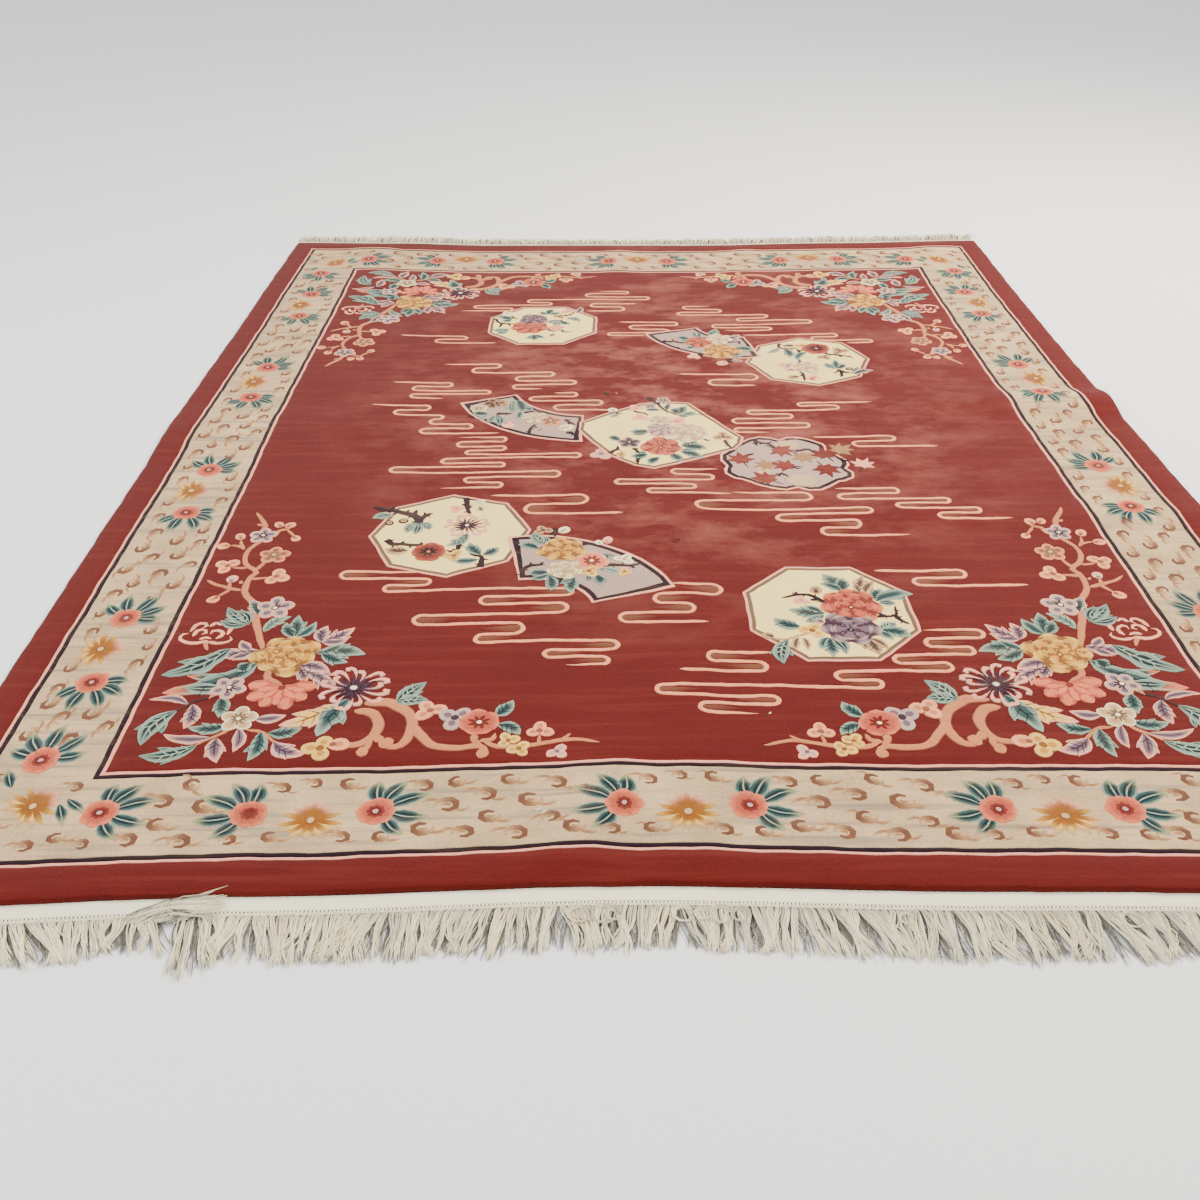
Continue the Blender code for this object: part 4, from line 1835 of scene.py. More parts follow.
# The near left corner's spray; the other three are its mirror images.
CORNER_SPRAY = Chart(
    stalks=(  # width, kind, x and y of each point
        # the plum branch that climbs the side
        (10, SCROLL, -768, -930, -789, -870, -804, -832, -809, -806, -815, -778, -845, -740, -852, -710,
         -849, -672, -841, -654, -864, -635, -879, -605, -879, -568, -864, -541, -854, -522, -858, -500),
        (9, SCROLL, -862, -492, -868, -462, -884, -437, -899, -410), (7, SCROLL, -872, -468, -884, -461),
        (8, SCROLL, -841, -508, -832, -500, -829, -488, -815, -488, -806, -478),
        (6, SCROLL, -812, -490, -800, -505, -790, -520), (7, SCROLL, -888, -568, -899, -548, -904, -528),
        (6, SCROLL, -894, -560, -908, -552, -924, -550), (8, SCROLL, -846, -650, -838, -632, -833, -616),
        (7, SCROLL, -866, -641, -884, -640, -897, -638), (8, SCROLL, -848, -684, -830, -682, -812, -679),
        (8, SCROLL, -856, -726, -886, -714, -912, -702, -937, -684),
        (7, SCROLL, -884, -716, -886, -700, -886, -692), (7, SCROLL, -880, -718, -890, -735, -899, -745),
        (7, SCROLL, -862, -700, -868, -690),
        # stems within the spray
        (10, SCROLL, -744, -990, -741, -1015, -722, -1030, -706, -1046),
        (6, SCROLL, -741, -1012, -742, -1030),
        (5, BARK, -819, -1067, -849, -1076, -864, -1089, -884, -1106, -912, -1114),
        (6, SCROLL, -772, -1158, -800, -1179, -822, -1198),
        (6, SCROLL, -744, -1159, -718, -1164, -695, -1187, -672, -1204),
        (7, SCROLL, -886, -893, -880, -910, -872, -926),
        # the curled cloud bloom
        (7, CURL, -880, -896, -905, -902, -930, -892, -934, -874, -922, -870),
        (7, CURL, -921, -864, -915, -842, -902, -835, -893, -845, -900, -853),
        (6.5, CURL, -912, -880, -908, -862, -896, -857, -889, -868, -897, -874),
        (6.5, CURL, -866, -889, -857, -876, -864, -862, -878, -861, -881, -872),
        (7, CURL, -880, -899, -856, -904, -836, -894, -841, -882),
        (7, CURL, -848, -876, -846, -852, -858, -838, -869, -845),
        (6.5, CURL, -898, -890, -886, -884, -874, -889), (6.5, CURL, -888, -848, -878, -836, -868, -846),
        # the vine along the end, with its two scrolls
        (15, SCROLL, -552, -1088, -520, -1084, -499, -1093, -472, -1118, -461, -1148, -464, -1181, -476,
         -1204, -494, -1206, -502, -1192),
        (12, SCROLL, -460, -1150, -442, -1181, -416, -1208, -379, -1214, -345, -1212, -330, -1222, -334,
         -1234),
        (14, SCROLL, -566, -1108, -540, -1112, -521, -1136, -520, -1165, -532, -1190, -550, -1200, -580,
         -1198),
        (9, SCROLL, -530, -1186, -528, -1206, -536, -1224),
        (10, SCROLL, -460, -1128, -444, -1132, -428, -1126),
        (10, SCROLL, -352, -1180, -350, -1200, -338, -1210),
        (9, SCROLL, -342, -1200, -322, -1196, -316, -1180),
        (9, SCROLL, -334, -1203, -310, -1214, -285, -1214, -248, -1211, -190, -1200, -139, -1213),
        (6, SCROLL, -205, -1203, -192, -1192, -186, -1186),
        (6, SCROLL, -242, -1208, -241, -1195, -240, -1186),
    ),
    leaves=(  # x, y, tip_x, tip_y, width, bow, kind
        (-716, -890, -721, -816, 30, 20, TEAL), (-717, -888, -740, -841, 24, 100, TEAL),
        (-713, -888, -684, -838, 24, -100, TEAL), (-778, -870, -736, -819, 24, 160, PALE),
        (-661, -904, -658, -851, 26, 120, LILAC), (-661, -904, -607, -855, 28, -60, LILAC),
        (-661, -904, -613, -892, 20, -100, LILAC), (-664, -939, -573, -943, 34, 120, TEAL),
        (-655, -937, -619, -907, 22, -60, TEAL), (-655, -941, -601, -968, 26, -80, TEAL),
        (-695, -980, -628, -1000, 30, 120, LILAC), (-695, -984, -669, -1030, 26, 100, LILAC),
        (-682, -990, -606, -1052, 24, 60, LILAC), (-776, -930, -850, -941, 36, 60, LILAC),
        (-790, -925, -814, -897, 22, 100, LILAC), (-790, -935, -826, -954, 20, 100, LILAC),
        (-830, -924, -935, -1001, 46, 100, DARK), (-770, -972, -918, -1052, 50, 120, BLUSH),
        (-783, -970, -800, -995, 30, 0, TEAL), (-820, -1040, -884, -1040, 30, 60, DARK),
        (-809, -1069, -802, -1125, 28, 60, TEAL), (-864, -1086, -935, -1070, 17, -140, LILAC),
        (-856, -1089, -851, -1153, 29, 100, LILAC), (-879, -1104, -912, -1192, 36, -160, DARK),
        (-781, -1148, -845, -1149, 26, 100, TEAL), (-800, -1178, -881, -1166, 21, 120, LILAC),
        (-819, -1198, -907, -1217, 30, 140, DARK), (-790, -1179, -774, -1243, 29, -60, LILAC),
        (-759, -1157, -754, -1216, 22, 100, LILAC), (-718, -1166, -725, -1239, 27, 80, TEAL),
        (-706, -1168, -650, -1153, 26, -120, TEAL), (-691, -1192, -631, -1221, 32, -160, LILAC),
        (-736, -1129, -684, -1119, 23, -100, LILAC), (-605, -1091, -691, -1148, 38, 100, CREAM),
        (-582, -1076, -620, -1176, 40, -40, TEAL), (-813, -844, -868, -785, 30, 60, DARK),
        (-815, -840, -848, -797, 24, -100, DARK), (-818, -846, -872, -830, 22, 120, DARK),
        (-806, -812, -830, -762, 30, -100, GREY), (-495, -1088, -450, -1031, 34, 60, DARK),
        (-495, -1088, -441, -1083, 28, 80, DARK), (-322, -1132, -291, -1091, 28, -100, TEAL),
        (-313, -1157, -274, -1185, 25, 160, TEAL),
    ),
    flowers=(  # x, y, radius, form, bloom, turn
        (-775, -790, 38, BLOSSOM, Bloom.LILAC, 20), (-718, -945, 62, PEONY, Bloom.GOLD, 80),
        (-748, -942, 26, PEONY, Bloom.YELLOW, 20), (-708, -1046, 64, OPEN, Bloom.SALMON, -92),
        (-577, -1044, 61, MUM, Bloom.LILAC, 76), (-804, -1042, 33, BLOSSOM, Bloom.LILAC, 60),
        (-764, -1129, 34, BLOSSOM, Bloom.IVORY, 90), (-609, -1208, 28, TRIO, Bloom.YELLOW, 180),
        (-578, -1198, 17, BUD, Bloom.PEACH, 0), (-499, -1197, 13, BUD, Bloom.BOUGH, 60),
        (-513, -1185, 10, BUD, Bloom.BOUGH, 120), (-335, -1230, 11, BUD, Bloom.BOUGH, 90),
        (-535, -1218, 11, BUD, Bloom.BOUGH, 90), (-435, -1114, 27, TRIO, Bloom.PEACH, 120),
        (-388, -1136, 30, TRIO, Bloom.PURPLE, 150), (-346, -1150, 36, DAISY, Bloom.PINK, 90),
        (-293, -1199, 19, TRIO, Bloom.YELLOW, 120), (-274, -1220, 19, TRIO, Bloom.YELLOW, -60),
        (-240, -1176, 21, TRIO, Bloom.PEACH, 90), (-208, -1230, 18, TRIO, Bloom.LILAC, -50),
        (-860, -511, 31, BLOSSOM, Bloom.LILAC, 90), (-819, -592, 33, BLOSSOM, Bloom.PEACH, 90),
        (-909, -631, 25, TRIO, Bloom.PEACH, 150), (-796, -676, 26, TRIO, Bloom.PEACH, -20),
        (-836, -466, 11, BUD, Bloom.PEACH, 130), (-811, -468, 12, BUD, Bloom.PEACH, 60),
        (-787, -524, 11, BUD, Bloom.PEACH, -40), (-909, -513, 12, BUD, Bloom.PEACH, 110),
        (-936, -551, 12, BUD, Bloom.PEACH, 180), (-886, -682, 12, BUD, Bloom.LILAC, 90),
        (-905, -755, 13, BUD, Bloom.PEACH, 230),
    ),
)


@dataclass(frozen=True)
class Plate:
    """The plain ground of a medallion, with a pale edge and a narrow line inside it."""

    outline: Table                  # corners, or centre, radii and angles of a fan, in mm
    ground: Dye
    line: Dye
    height: float = LEVELS.plate
    fan: bool = False
    edge: float = 6.5 * MM
    line_width: float = 8.0 * MM

    def press(self, carving: Carving) -> None:
        """Press the plate.

        Args:
            carving: what it is pressed into.
        """
        if self.fan:
            self._press_fan(carving)
        else:
            self._press_round(carving)

    def _press_round(self, carving: Carving) -> None:
        """Press a plate whose outline is seen whole from its middle.

        Args:
            carving: what it is pressed into.
        """
        corners = np.array(self.outline) * MM
        middle = (corners.max(axis=0) + corners.min(axis=0)) / 2
        around = np.vstack([corners, corners[:1]])
        lengths = np.linalg.norm(np.diff(around, axis=0), axis=1)
        counts = np.maximum(1, np.round(lengths / lengths.sum() * 64)).astype(int)
        points = np.vstack(
            [
                start + (end - start) * np.linspace(0, 1, count, endpoint=False)[:, None] for start, end,
                count in zip(around, around[1:], counts)
            ]
        ) - middle
        turned = np.roll(points, -1, axis=0)
        if np.sum(points[:, 0] * turned[:, 1] - points[:, 1] * turned[:, 0]) < 0:
            points = points[::-1]
        reach = float(np.linalg.norm(points, axis=1).mean())
        inner = 1 - (self.edge + self.line_width) / reach
        steps = [(share * inner, 1, 2) for share in (1.0, 0.88, 0.75, 0.62, 0.49, 0.36, 0.22, 0.10)]
        rings = ((1.0, 0, 0), (1 - 1.2 * MM / reach, 1, 0), (1 - self.edge / reach, 1, 1), *steps)
        carving.plate(
            middle, points, (Dye.PALE_PINK, self.line, self.ground), self.height, rings,
            self.edge + self.line_width,
        )

    def _press_fan(self, carving: Carving) -> None:
        """Press a folding fan's leaf, a part of a ring.

        Args:
            carving: what it is pressed into.
        """
        (x, y), (inner, outer) = (np.array(pair) * MM for pair in self.outline[:2])
        first, last = self.outline[2]
        arc = math.radians(last - first) * (inner + outer) / 2
        across, around = outer - inner, arc
        frame_lanes = (0.0, self.edge, self.edge + self.line_width)

        def stations(length: float) -> np.ndarray:
            """Shares of a length at which the fan is cut, its frame's lanes first and last.

            Args:
                length: the fan's length in one direction.

            Returns:
                The shares, sorted.
            """
            shares = [lane / length for lane in frame_lanes]
            inside = np.linspace(shares[-1], 1 - shares[-1], max(3, round(length / 0.016)))[1:-1]
            return np.array([*shares, *inside, *[1 - share for share in reversed(shares)]])

        columns, rows = stations(around), stations(across)
        shape = carving.shape
        made = bmesh.ops.create_grid(
            shape, x_segments=len(columns) - 1, y_segments=len(rows) - 1, size=0.5
        )["verts"]
        cells = {face for vert in made for face in vert.link_faces}
        layer = shape.loops.layers.float_color["dye"]
        dyes = [linear(dye.value) for dye in (Dye.PALE_PINK, self.line, self.ground)]
        top = carving.top(self.height)
        for face in cells:
            spot = face.calc_center_median()
            column = math.floor((spot.x + 0.5) * (len(columns) - 1))
            row = math.floor((spot.y + 0.5) * (len(rows) - 1))
            lane = min(column, row, len(columns) - 2 - column, len(rows) - 2 - row, 2)
            for loop in face.loops:
                loop[layer] = dyes[lane]
        for vert in made:
            column = round((vert.co.x + 0.5) * (len(columns) - 1))
            row = round((vert.co.y + 0.5) * (len(rows) - 1))
            angle = math.radians(first + (last - first) * columns[column])
            radius = inner + across * rows[row]
            vert.co = (x + radius * math.cos(angle), y + radius * math.sin(angle), carving.foot)
        raised = bmesh.ops.extrude_face_region(shape, geom=list(cells), use_keep_orig=True)["geom"]
        verts = [item for item in raised if isinstance(item, bmesh.types.BMVert)]
        bmesh.ops.translate(shape, verts=verts, vec=(0.0, 0.0, top - carving.foot))


def octagon(x: float, y: float, radius: float, turn: float) -> Table:
    """Corners of an eight-sided plate.

    Args:
        x, y: its middle.
        radius: from its middle to a corner.
        turn: the direction of its first corner, in degrees.

    Returns:
        The corners.
    """
    return tuple((x, y) + radius * heading(turn + 45 * number) for number in range(8))


# The two grounds that a plate may have.
CREAM_GROUND = {"ground": Dye.CREAM, "line": Dye.TAN}
ASH_GROUND = {"ground": Dye.ASH, "line": Dye.PLUM, "line_width": 11.0 * MM}

MEDALLIONS: dict[str, tuple[Plate, Chart]] = {}
MEDALLIONS["far_left_octagon"] = Plate(octagon(-298, 750, 178, 22.5), **CREAM_GROUND), Chart(
    stalks=(
        (6, TWIG, -446, 803, -435, 775, -425, 760, -430, 728), (5, TWIG, -427, 765, -400, 760, -365, 757),
        (4, TWIG, -405, 758, -396, 742, -390, 738), (6, TWIG, -400, 828, -390, 812, -376, 806),
        (5, TWIG, -290, 718, -272, 697, -255, 690), (5, TWIG, -242, 708, -235, 690, -212, 691),
        (6, TWIG, -236, 826, -220, 838, -208, 850),
    ),
    leaves=(
        (-285, 842, -274, 893, 26, 60, TEAL), (-290, 842, -312, 868, 20, 100, TEAL),
        (-280, 842, -252, 862, 20, -100, TEAL), (-396, 795, -440, 824, 30, -100, TEAL),
        (-398, 790, -425, 786, 22, 100, TEAL), (-398, 712, -448, 706, 30, 120, DARK),
        (-405, 700, -432, 676, 24, 100, DARK), (-230, 808, -188, 774, 24, 220, PALE),
        (-322, 664, -345, 632, 22, 100, TEAL), (-320, 664, -318, 620, 26, 0, TEAL),
        (-316, 664, -286, 640, 20, -100, TEAL), (-240, 790, -292, 775, 28, 100, DARK),
        (-248, 782, -268, 742, 30, 60, DARK), (-245, 780, -218, 752, 24, -100, TEAL),
        (-196, 852, -186, 912, 22, -60, GREY), (-205, 850, -214, 892, 18, 60, GREY),
        (-262, 672, -275, 650, 16, 0, TAN),
    ),
    flowers=(
        (-330, 800, 46, PEONY, Bloom.PURPLE, 70), (-335, 730, 54, PEONY, Bloom.PINK, 90),
        (-252, 822, 18, TRIO, Bloom.TAN, 60), (-412, 852, 19, TRIO, Bloom.IVORY, 120),
        (-226, 868, 19, TRIO, Bloom.BLUSH, 100), (-258, 722, 26, BLOSSOM, Bloom.BLUSH, 20),
    ),
)
MEDALLIONS["far_right_octagon"] = Plate(octagon(467, 453, 180, 2.0), **CREAM_GROUND), Chart(
    stalks=(
        (6, TWIG, 399, 585, 396, 560, 408, 545, 432, 543, 450, 545),
        (6, TWIG, 448, 535, 452, 515, 450, 492), (4, TWIG, 450, 528, 472, 524),
        (6, TWIG, 520, 514, 530, 496, 555, 488, 580, 480, 600, 463), (4, TWIG, 560, 487, 565, 470),
        (6, TWIG, 438, 428, 424, 418, 430, 405), (7, TWIG, 450, 430, 456, 415),
        (6, TWIG, 436, 372, 441, 345, 438, 308), (4, TWIG, 440, 352, 426, 340),
        (6, TWIG, 538, 382, 552, 369, 582, 352), (5, TWIG, 545, 374, 526, 358),
        (6, TWIG, 548, 368, 546, 340, 538, 332),
    ),
    leaves=(
        (393, 548, 357, 513, 22, 100, PALE), (446, 566, 405, 570, 24, 40, GREY),
        (410, 542, 420, 474, 28, 100, TEAL), (470, 512, 438, 452, 22, -160, TEAL),
        (442, 462, 425, 402, 18, 100, GREY), (538, 392, 543, 452, 22, 0, TEAL),
        (536, 390, 512, 430, 24, 100, DARK), (540, 390, 562, 424, 24, -100, TEAL),
        (585, 348, 602, 398, 18, 80, DARK), (580, 346, 640, 372, 24, 160, GREY),
        (430, 400, 392, 384, 16, 140, LILAC), (470, 395, 470, 350, 16, 140, LILAC),
    ),
    flowers=(
        (462, 562, 22, TRIO, Bloom.YELLOW, 60), (502, 538, 43, DAISY, Bloom.ROSE, 90),
        (570, 516, 24, TRIO, Bloom.TAN, 120), (516, 470, 18, TRIO, Bloom.TAN, 60),
        (455, 402, 42, PEONY, Bloom.IVORY, 90), (404, 415, 24, TRIO, Bloom.LILAC, 150),
        (575, 386, 12, RING, Bloom.TAN), (465, 330, 19, BUD, Bloom.SALMON, 60),
        (410, 334, 15, BUD, Bloom.TAN, 200),
    ),
)
MEDALLIONS["far_fan"] = Plate(
    ((278, 760), (117, 284), (197.6, 282.3)), **ASH_GROUND, height=LEVELS.upper_plate, fan=True,
), Chart(
    stalks=(
        (7, TWIG, 52, 605, 85, 606, 115, 598, 145, 600), (5, TWIG, 62, 605, 68, 620),
        (6, TWIG, 62, 598, 74, 582), (6, TWIG, 100, 562, 108, 548),
        (8, TWIG, 150, 516, 165, 505, 180, 510), (6, TWIG, 165, 508, 160, 494),
        (6, TWIG, 248, 600, 272, 604, 296, 612), (5, TWIG, 283, 604, 286, 584),
        (7, TWIG, 240, 474, 245, 460, 252, 446),
    ),
    leaves=(
        (142, 622, 106, 655, 30, 100, TEAL), (142, 616, 112, 620, 22, 100, DARK),
        (165, 640, 152, 690, 14, 60, DARK), (170, 640, 165, 684, 12, -60, TEAL),
        (215, 660, 225, 712, 26, 40, PALE), (212, 660, 204, 690, 16, 60, TEAL),
        (150, 568, 122, 556, 22, 100, TEAL), (268, 552, 320, 528, 34, 180, TEAL),
        (262, 538, 282, 488, 30, -160, TEAL), (252, 520, 262, 484, 18, 0, DARK),
        (250, 458, 282, 452, 18, 140, LILAC),
    ),
    flowers=(
        (168, 604, 42, PEONY, Bloom.PINK, 100), (226, 628, 38, PEONY, Bloom.IVORY, 90),
        (226, 534, 54, PEONY, Bloom.GOLD, 90), (268, 634, 28, TRIO, Bloom.PURPLE, 45),
        (146, 492, 20, TRIO, Bloom.BLUSH, 200), (222, 440, 16, BUD, Bloom.BLUSH, 200),
        (90, 620, 12, BUD, Bloom.TAN, 90),
    ),
)
MEDALLIONS["left_fan"] = Plate(((-160, 290), (197, 352), (198.9, 268.0)), **ASH_GROUND, fan=True), Chart(
    stalks=(
        (6, TWIG, -470, 160, -455, 168, -440, 180), (8, TWIG, -392, 102, -375, 106, -352, 104),
        (5, TWIG, -322, 106, -304, 116, -285, 110, -274, 100),
        (6, TWIG, -304, -12, -302, 14, -294, 34, -286, 42), (5, TWIG, -296, 30, -283, 20),
        (7, TWIG, -216, 66, -204, 52, -188, 34), (6, TWIG, -204, 52, -206, 36),
        (7, TWIG, -212, -8, -198, -14, -180, -32), (6, TWIG, -198, -14, -194, -4),
        (6, TWIG, -462, 98, -448, 84),
    ),
    leaves=(
        (-345, 190, -330, 100, 32, 100, TEAL), (-352, 180, -348, 112, 24, -100, DARK),
        (-332, 112, -334, 72, 18, 0, TEAL), (-318, 140, -300, 122, 20, 0, TEAL),
        (-415, 102, -452, 122, 28, 120, TEAL), (-418, 98, -440, 72, 22, 100, PALE),
        (-392, 94, -382, 34, 30, 80, DARK), (-400, 92, -412, 50, 18, 60, DARK),
        (-284, 0, -270, 16, 12, 0, TAN),
    ),
    flowers=(
        (-402, 168, 30, BLOSSOM, Bloom.TAN, 110), (-440, 138, 24, BLOSSOM, Bloom.IVORY, 30),
        (-385, 168, 22, TRIO, Bloom.TAN, 60), (-295, 80, 31, PEONY, Bloom.IVORY, 90),
        (-252, 58, 30, BLOSSOM, Bloom.PEACH, 90), (-212, 18, 18, BUD, Bloom.IVORY, 30),
        (-360, 36, 16, BUD, Bloom.BLUSH, -60),
    ),
)
MEDALLIONS["right_lobed"] = Plate(
    (
        (242, -40), (268, -30), (296, -34), (315, -48), (334, -34), (362, -32), (392, -48), (420, -72),
        (430, -98), (424, -118), (448, -134), (464, -162), (466, -188), (456, -206), (468, -228),
        (464, -254), (440, -270), (412, -276), (402, -296), (380, -312), (350, -314), (326, -300),
        (300, -312), (266, -306), (230, -286), (212, -266), (184, -256), (164, -230), (162, -206),
        (170, -188), (158, -160), (160, -130), (184, -104), (202, -74),
    ),
    **ASH_GROUND,
), Chart(
    stalks=(
        (8, TWIG, 250, -46, 266, -64, 282, -70, 297, -62), (6, TWIG, 256, -52, 258, -82),
        (6, TWIG, 284, -70, 302, -94), (6, TWIG, 345, -114, 362, -110, 380, -104, 396, -132),
        (6, TWIG, 224, -137, 244, -124), (5, TWIG, 288, -242, 298, -228, 313, -249),
        (6, TWIG, 446, -152, 456, -166, 476, -172), (4, TWIG, 320, -198, 334, -200, 348, -208),
    ),
    flowers=(
        (330, -80, 30, STAIN, Bloom.STAIN, 10), (340, -262, 36, STAIN, Bloom.STAIN, -10),
        (262, -212, 24, STAIN, Bloom.STAIN, 60), (360, -142, 33, MAPLE, Bloom.BROWN, -60),
        (270, -184, 31, MAPLE, Bloom.BROWN, 200), (455, -112, 37, MAPLE, Bloom.BROWN, 40),
        (310, -106, 36, MAPLE, Bloom.RUST, -50), (210, -160, 37, MAPLE, Bloom.RUST, 96),
        (316, -190, 34, MAPLE, Bloom.RUST, 160), (260, -258, 38, MAPLE, Bloom.RUST, 130),
        (416, -136, 38, MAPLE, Bloom.CORAL, 100), (406, -206, 38, MAPLE, Bloom.CORAL, -80),
        (495, -190, 33, MAPLE, Bloom.BLUSH, 60),
    ),
)
MEDALLIONS["middle_plate"] = Plate(
    (
        (-178, 52), (-98, 112), (-20, 166), (40, 180), (110, 172), (170, 68), (231, -35), (222, -72),
        (202, -104), (130, -142), (56, -182), (-2, -208), (-48, -192), (-106, -142), (-130, -98),
        (-158, -50), (-181, 4),
    ),
    **CREAM_GROUND, height=LEVELS.upper_plate,
), Chart(
    stalks=(
        (6, TWIG, 4, 202, 15, 182, 30, 156, 40, 130, 52, 112, 80, 88), (5, TWIG, 26, 160, 34, 172),
        (3, BARK, 80, 94, 110, 98, 152, 97), (6, TWIG, -98, 112, -78, 104, -66, 103),
        (5, TWIG, -36, 118, -28, 108, -10, 106, 0, 88), (5, TWIG, 91, 38, 105, 18),
        (7, TWIG, -106, -128, -92, -110, -84, -104, -86, -88), (6, TWIG, -46, -104, -36, -116, -30, -132),
        (5, TWIG, -50, -104, -34, -103), (6, TWIG, -34, -148, -38, -162, -39, -184),
        (6, TWIG, 182, -52, 186, -76, 194, -102), (5, TWIG, 128, -44, 138, -56, 146, -52),
    ),
    leaves=(
        (80, 98, 104, 148, 28, 100, TEAL), (76, 100, 72, 138, 24, 80, TEAL),
        (86, 96, 124, 112, 26, -80, PALE), (78, 92, 98, 78, 22, 100, DARK),
        (50, 122, 62, 168, 20, 80, GREY), (-6, 122, 36, 118, 20, 100, TEAL),
        (-78, 100, -100, 78, 16, 100, PALE), (0, -2, -54, -6, 26, 80, TEAL),
        (-12, -18, -46, -24, 14, 0, DARK), (-78, -58, -98, -28, 24, 100, TEAL),
        (72, -88, 112, -56, 34, -100, TEAL), (78, -92, 134, -102, 34, 120, TEAL),
        (72, -104, 104, -118, 20, 0, DARK), (68, -116, 118, -150, 30, 80, TEAL),
        (40, -128, 63, -172, 26, 100, TEAL), (14, -150, -12, -186, 26, -100, TEAL),
        (-14, -132, -54, -142, 26, 120, TEAL), (-18, -128, -30, -118, 14, 0, DARK),
        (-76, -118, -90, -150, 24, 140, CREAM),
    ),
    flowers=(
        (42, 182, 21, BLOSSOM, Bloom.LILAC, 60), (6, 146, 18, BLOSSOM, Bloom.LILAC, 90),
        (-32, 134, 19, TRIO, Bloom.BLUSH, 120), (-92, 122, 13, BUD, Bloom.IVORY, 120),
        (-22, 76, 21, TRIO, Bloom.BLUSH, 90), (30, 58, 30, PEONY, Bloom.IVORY, 60),
        (26, 4, 36, PEONY, Bloom.LILAC, 90), (84, -10, 56, PEONY, Bloom.IVORY, 70),
        (70, 52, 26, TRIO, Bloom.BLUSH, 60), (-56, -70, 29, BLOSSOM, Bloom.PURPLE, 90),
        (20, -90, 52, PEONY, Bloom.PINK, 90), (-126, -132, 26, TRIO, Bloom.LILAC, 200),
        (180, -34, 23, TRIO, Bloom.TAN, 90),
    ),
)
MEDALLIONS["near_left_octagon"] = Plate(octagon(-457, -503, 178, 3.0), **CREAM_GROUND), Chart(
    stalks=(
        (12, TWIG, -531, -460, -533, -438, -548, -420, -572, -410, -588, -400, -612, -396, -640, -384),
        (8, TWIG, -546, -424, -542, -398), (9, TWIG, -530, -440, -518, -422, -504, -414),
        (5, TWIG, -520, -424, -523, -408),
        (9, TWIG, -592, -528, -576, -546, -555, -546, -535, -551, -514, -550, -505, -562),
        (5, TWIG, -556, -545, -551, -534), (5, TWIG, -516, -550, -512, -541),
        (8, TWIG, -437, -345, -433, -365, -430, -386, -426, -408, -420, -426),
        (4, TWIG, -431, -380, -443, -374), (4, TWIG, -430, -388, -420, -378),
        (7, TWIG, -433, -548, -434, -570, -444, -580, -458, -575),
        (9, TWIG, -383, -642, -380, -618, -383, -596), (5, TWIG, -384, -600, -402, -594, -410, -590),
    ),
    leaves=(
        (-590, -424, -636, -434, 26, -120, PALE), (-531, -458, -552, -496, 26, -140, DARK),
        (-530, -458, -531, -504, 24, 0, DARK), (-529, -458, -503, -486, 24, 140, DARK),
        (-420, -505, -460, -556, 24, 160, TEAL), (-424, -512, -440, -548, 14, 0, PALE),
        (-385, -594, -411, -543, 26, 100, TEAL), (-381, -594, -350, -564, 26, -120, TEAL),
        (-388, -614, -446, -614, 23, 80, TEAL), (-540, -572, -588, -564, 28, 100, TAN),
        (-404, -388, -398, -406, 14, 0, TAN),
    ),
    flowers=(
        (-565, -447, 12, RING, Bloom.TAN), (-595, -455, 11, RING, Bloom.TAN),
        (-424, -470, 48, MUM, Bloom.LILAC, 60), (-405, -370, 16, TRIO, Bloom.IVORY, 60),
        (-452, -395, 16, TRIO, Bloom.BLUSH, 140), (-495, -580, 36, DAISY, Bloom.ROSE, 90),
        (-440, -596, 21, TRIO, Bloom.YELLOW, 170),
    ),
)
MEDALLIONS["near_fan"] = Plate(
    ((-274, -824), (130, 307), (17.7, 101.0)), **ASH_GROUND, height=LEVELS.upper_plate, fan=True,
), Chart(
    stalks=(
        (9, TWIG, -236, -490, -231, -508, -230, -526),
        (6, TWIG, -174, -562, -158, -556, -140, -558, -126, -552),
        (7, TWIG, -132, -645, -100, -642, -72, -646, -44, -636), (5, TWIG, -74, -645, -62, -656),
        (8, TWIG, -292, -684, -292, -656, -280, -642, -264, -640, -246, -640),
        (5, TWIG, -280, -642, -276, -630), (5, TWIG, -258, -640, -250, -627),
        (6, TWIG, -222, -700, -206, -712),
    ),
    leaves=(
        (-250, -556, -276, -508, 30, 100, DARK), (-246, -552, -250, -524, 18, 0, DARK),
        (-264, -576, -308, -556, 24, -140, TEAL), (-136, -598, -106, -612, 30, -140, TEAL),
        (-128, -655, -92, -680, 20, 100, PALE), (-136, -655, -122, -664, 10, 0, DARK),
        (-152, -680, -158, -704, 18, 0, DARK), (-140, -680, -134, -722, 24, 80, TEAL),
        (-240, -668, -282, -664, 24, 100, TEAL), (-240, -678, -276, -690, 18, 100, TEAL),
        (-238, -686, -234, -738, 26, 100, TEAL), (-186, -692, -192, -748, 28, -60, TEAL),
        (-190, -694, -216, -712, 16, 100, DARK),
    ),
    flowers=(
        (-256, -500, 19, TRIO, Bloom.TAN, 110), (-210, -496, 13, BUD, Bloom.IVORY, 60),
        (-117, -541, 12, BUD, Bloom.BLUSH, 80), (-136, -551, 9, BUD, Bloom.IVORY, 120),
        (-215, -576, 50, PEONY, Bloom.GOLD, 90), (-149, -626, 37, DAISY, Bloom.SALMON, 90),
        (-206, -660, 38, PEONY, Bloom.IVORY, 90), (-156, -666, 22, TRIO, Bloom.YELLOW, -60),
        (-82, -620, 20, TRIO, Bloom.IVORY, 60), (-84, -670, 15, TRIO, Bloom.YELLOW, -20),
    ),
)
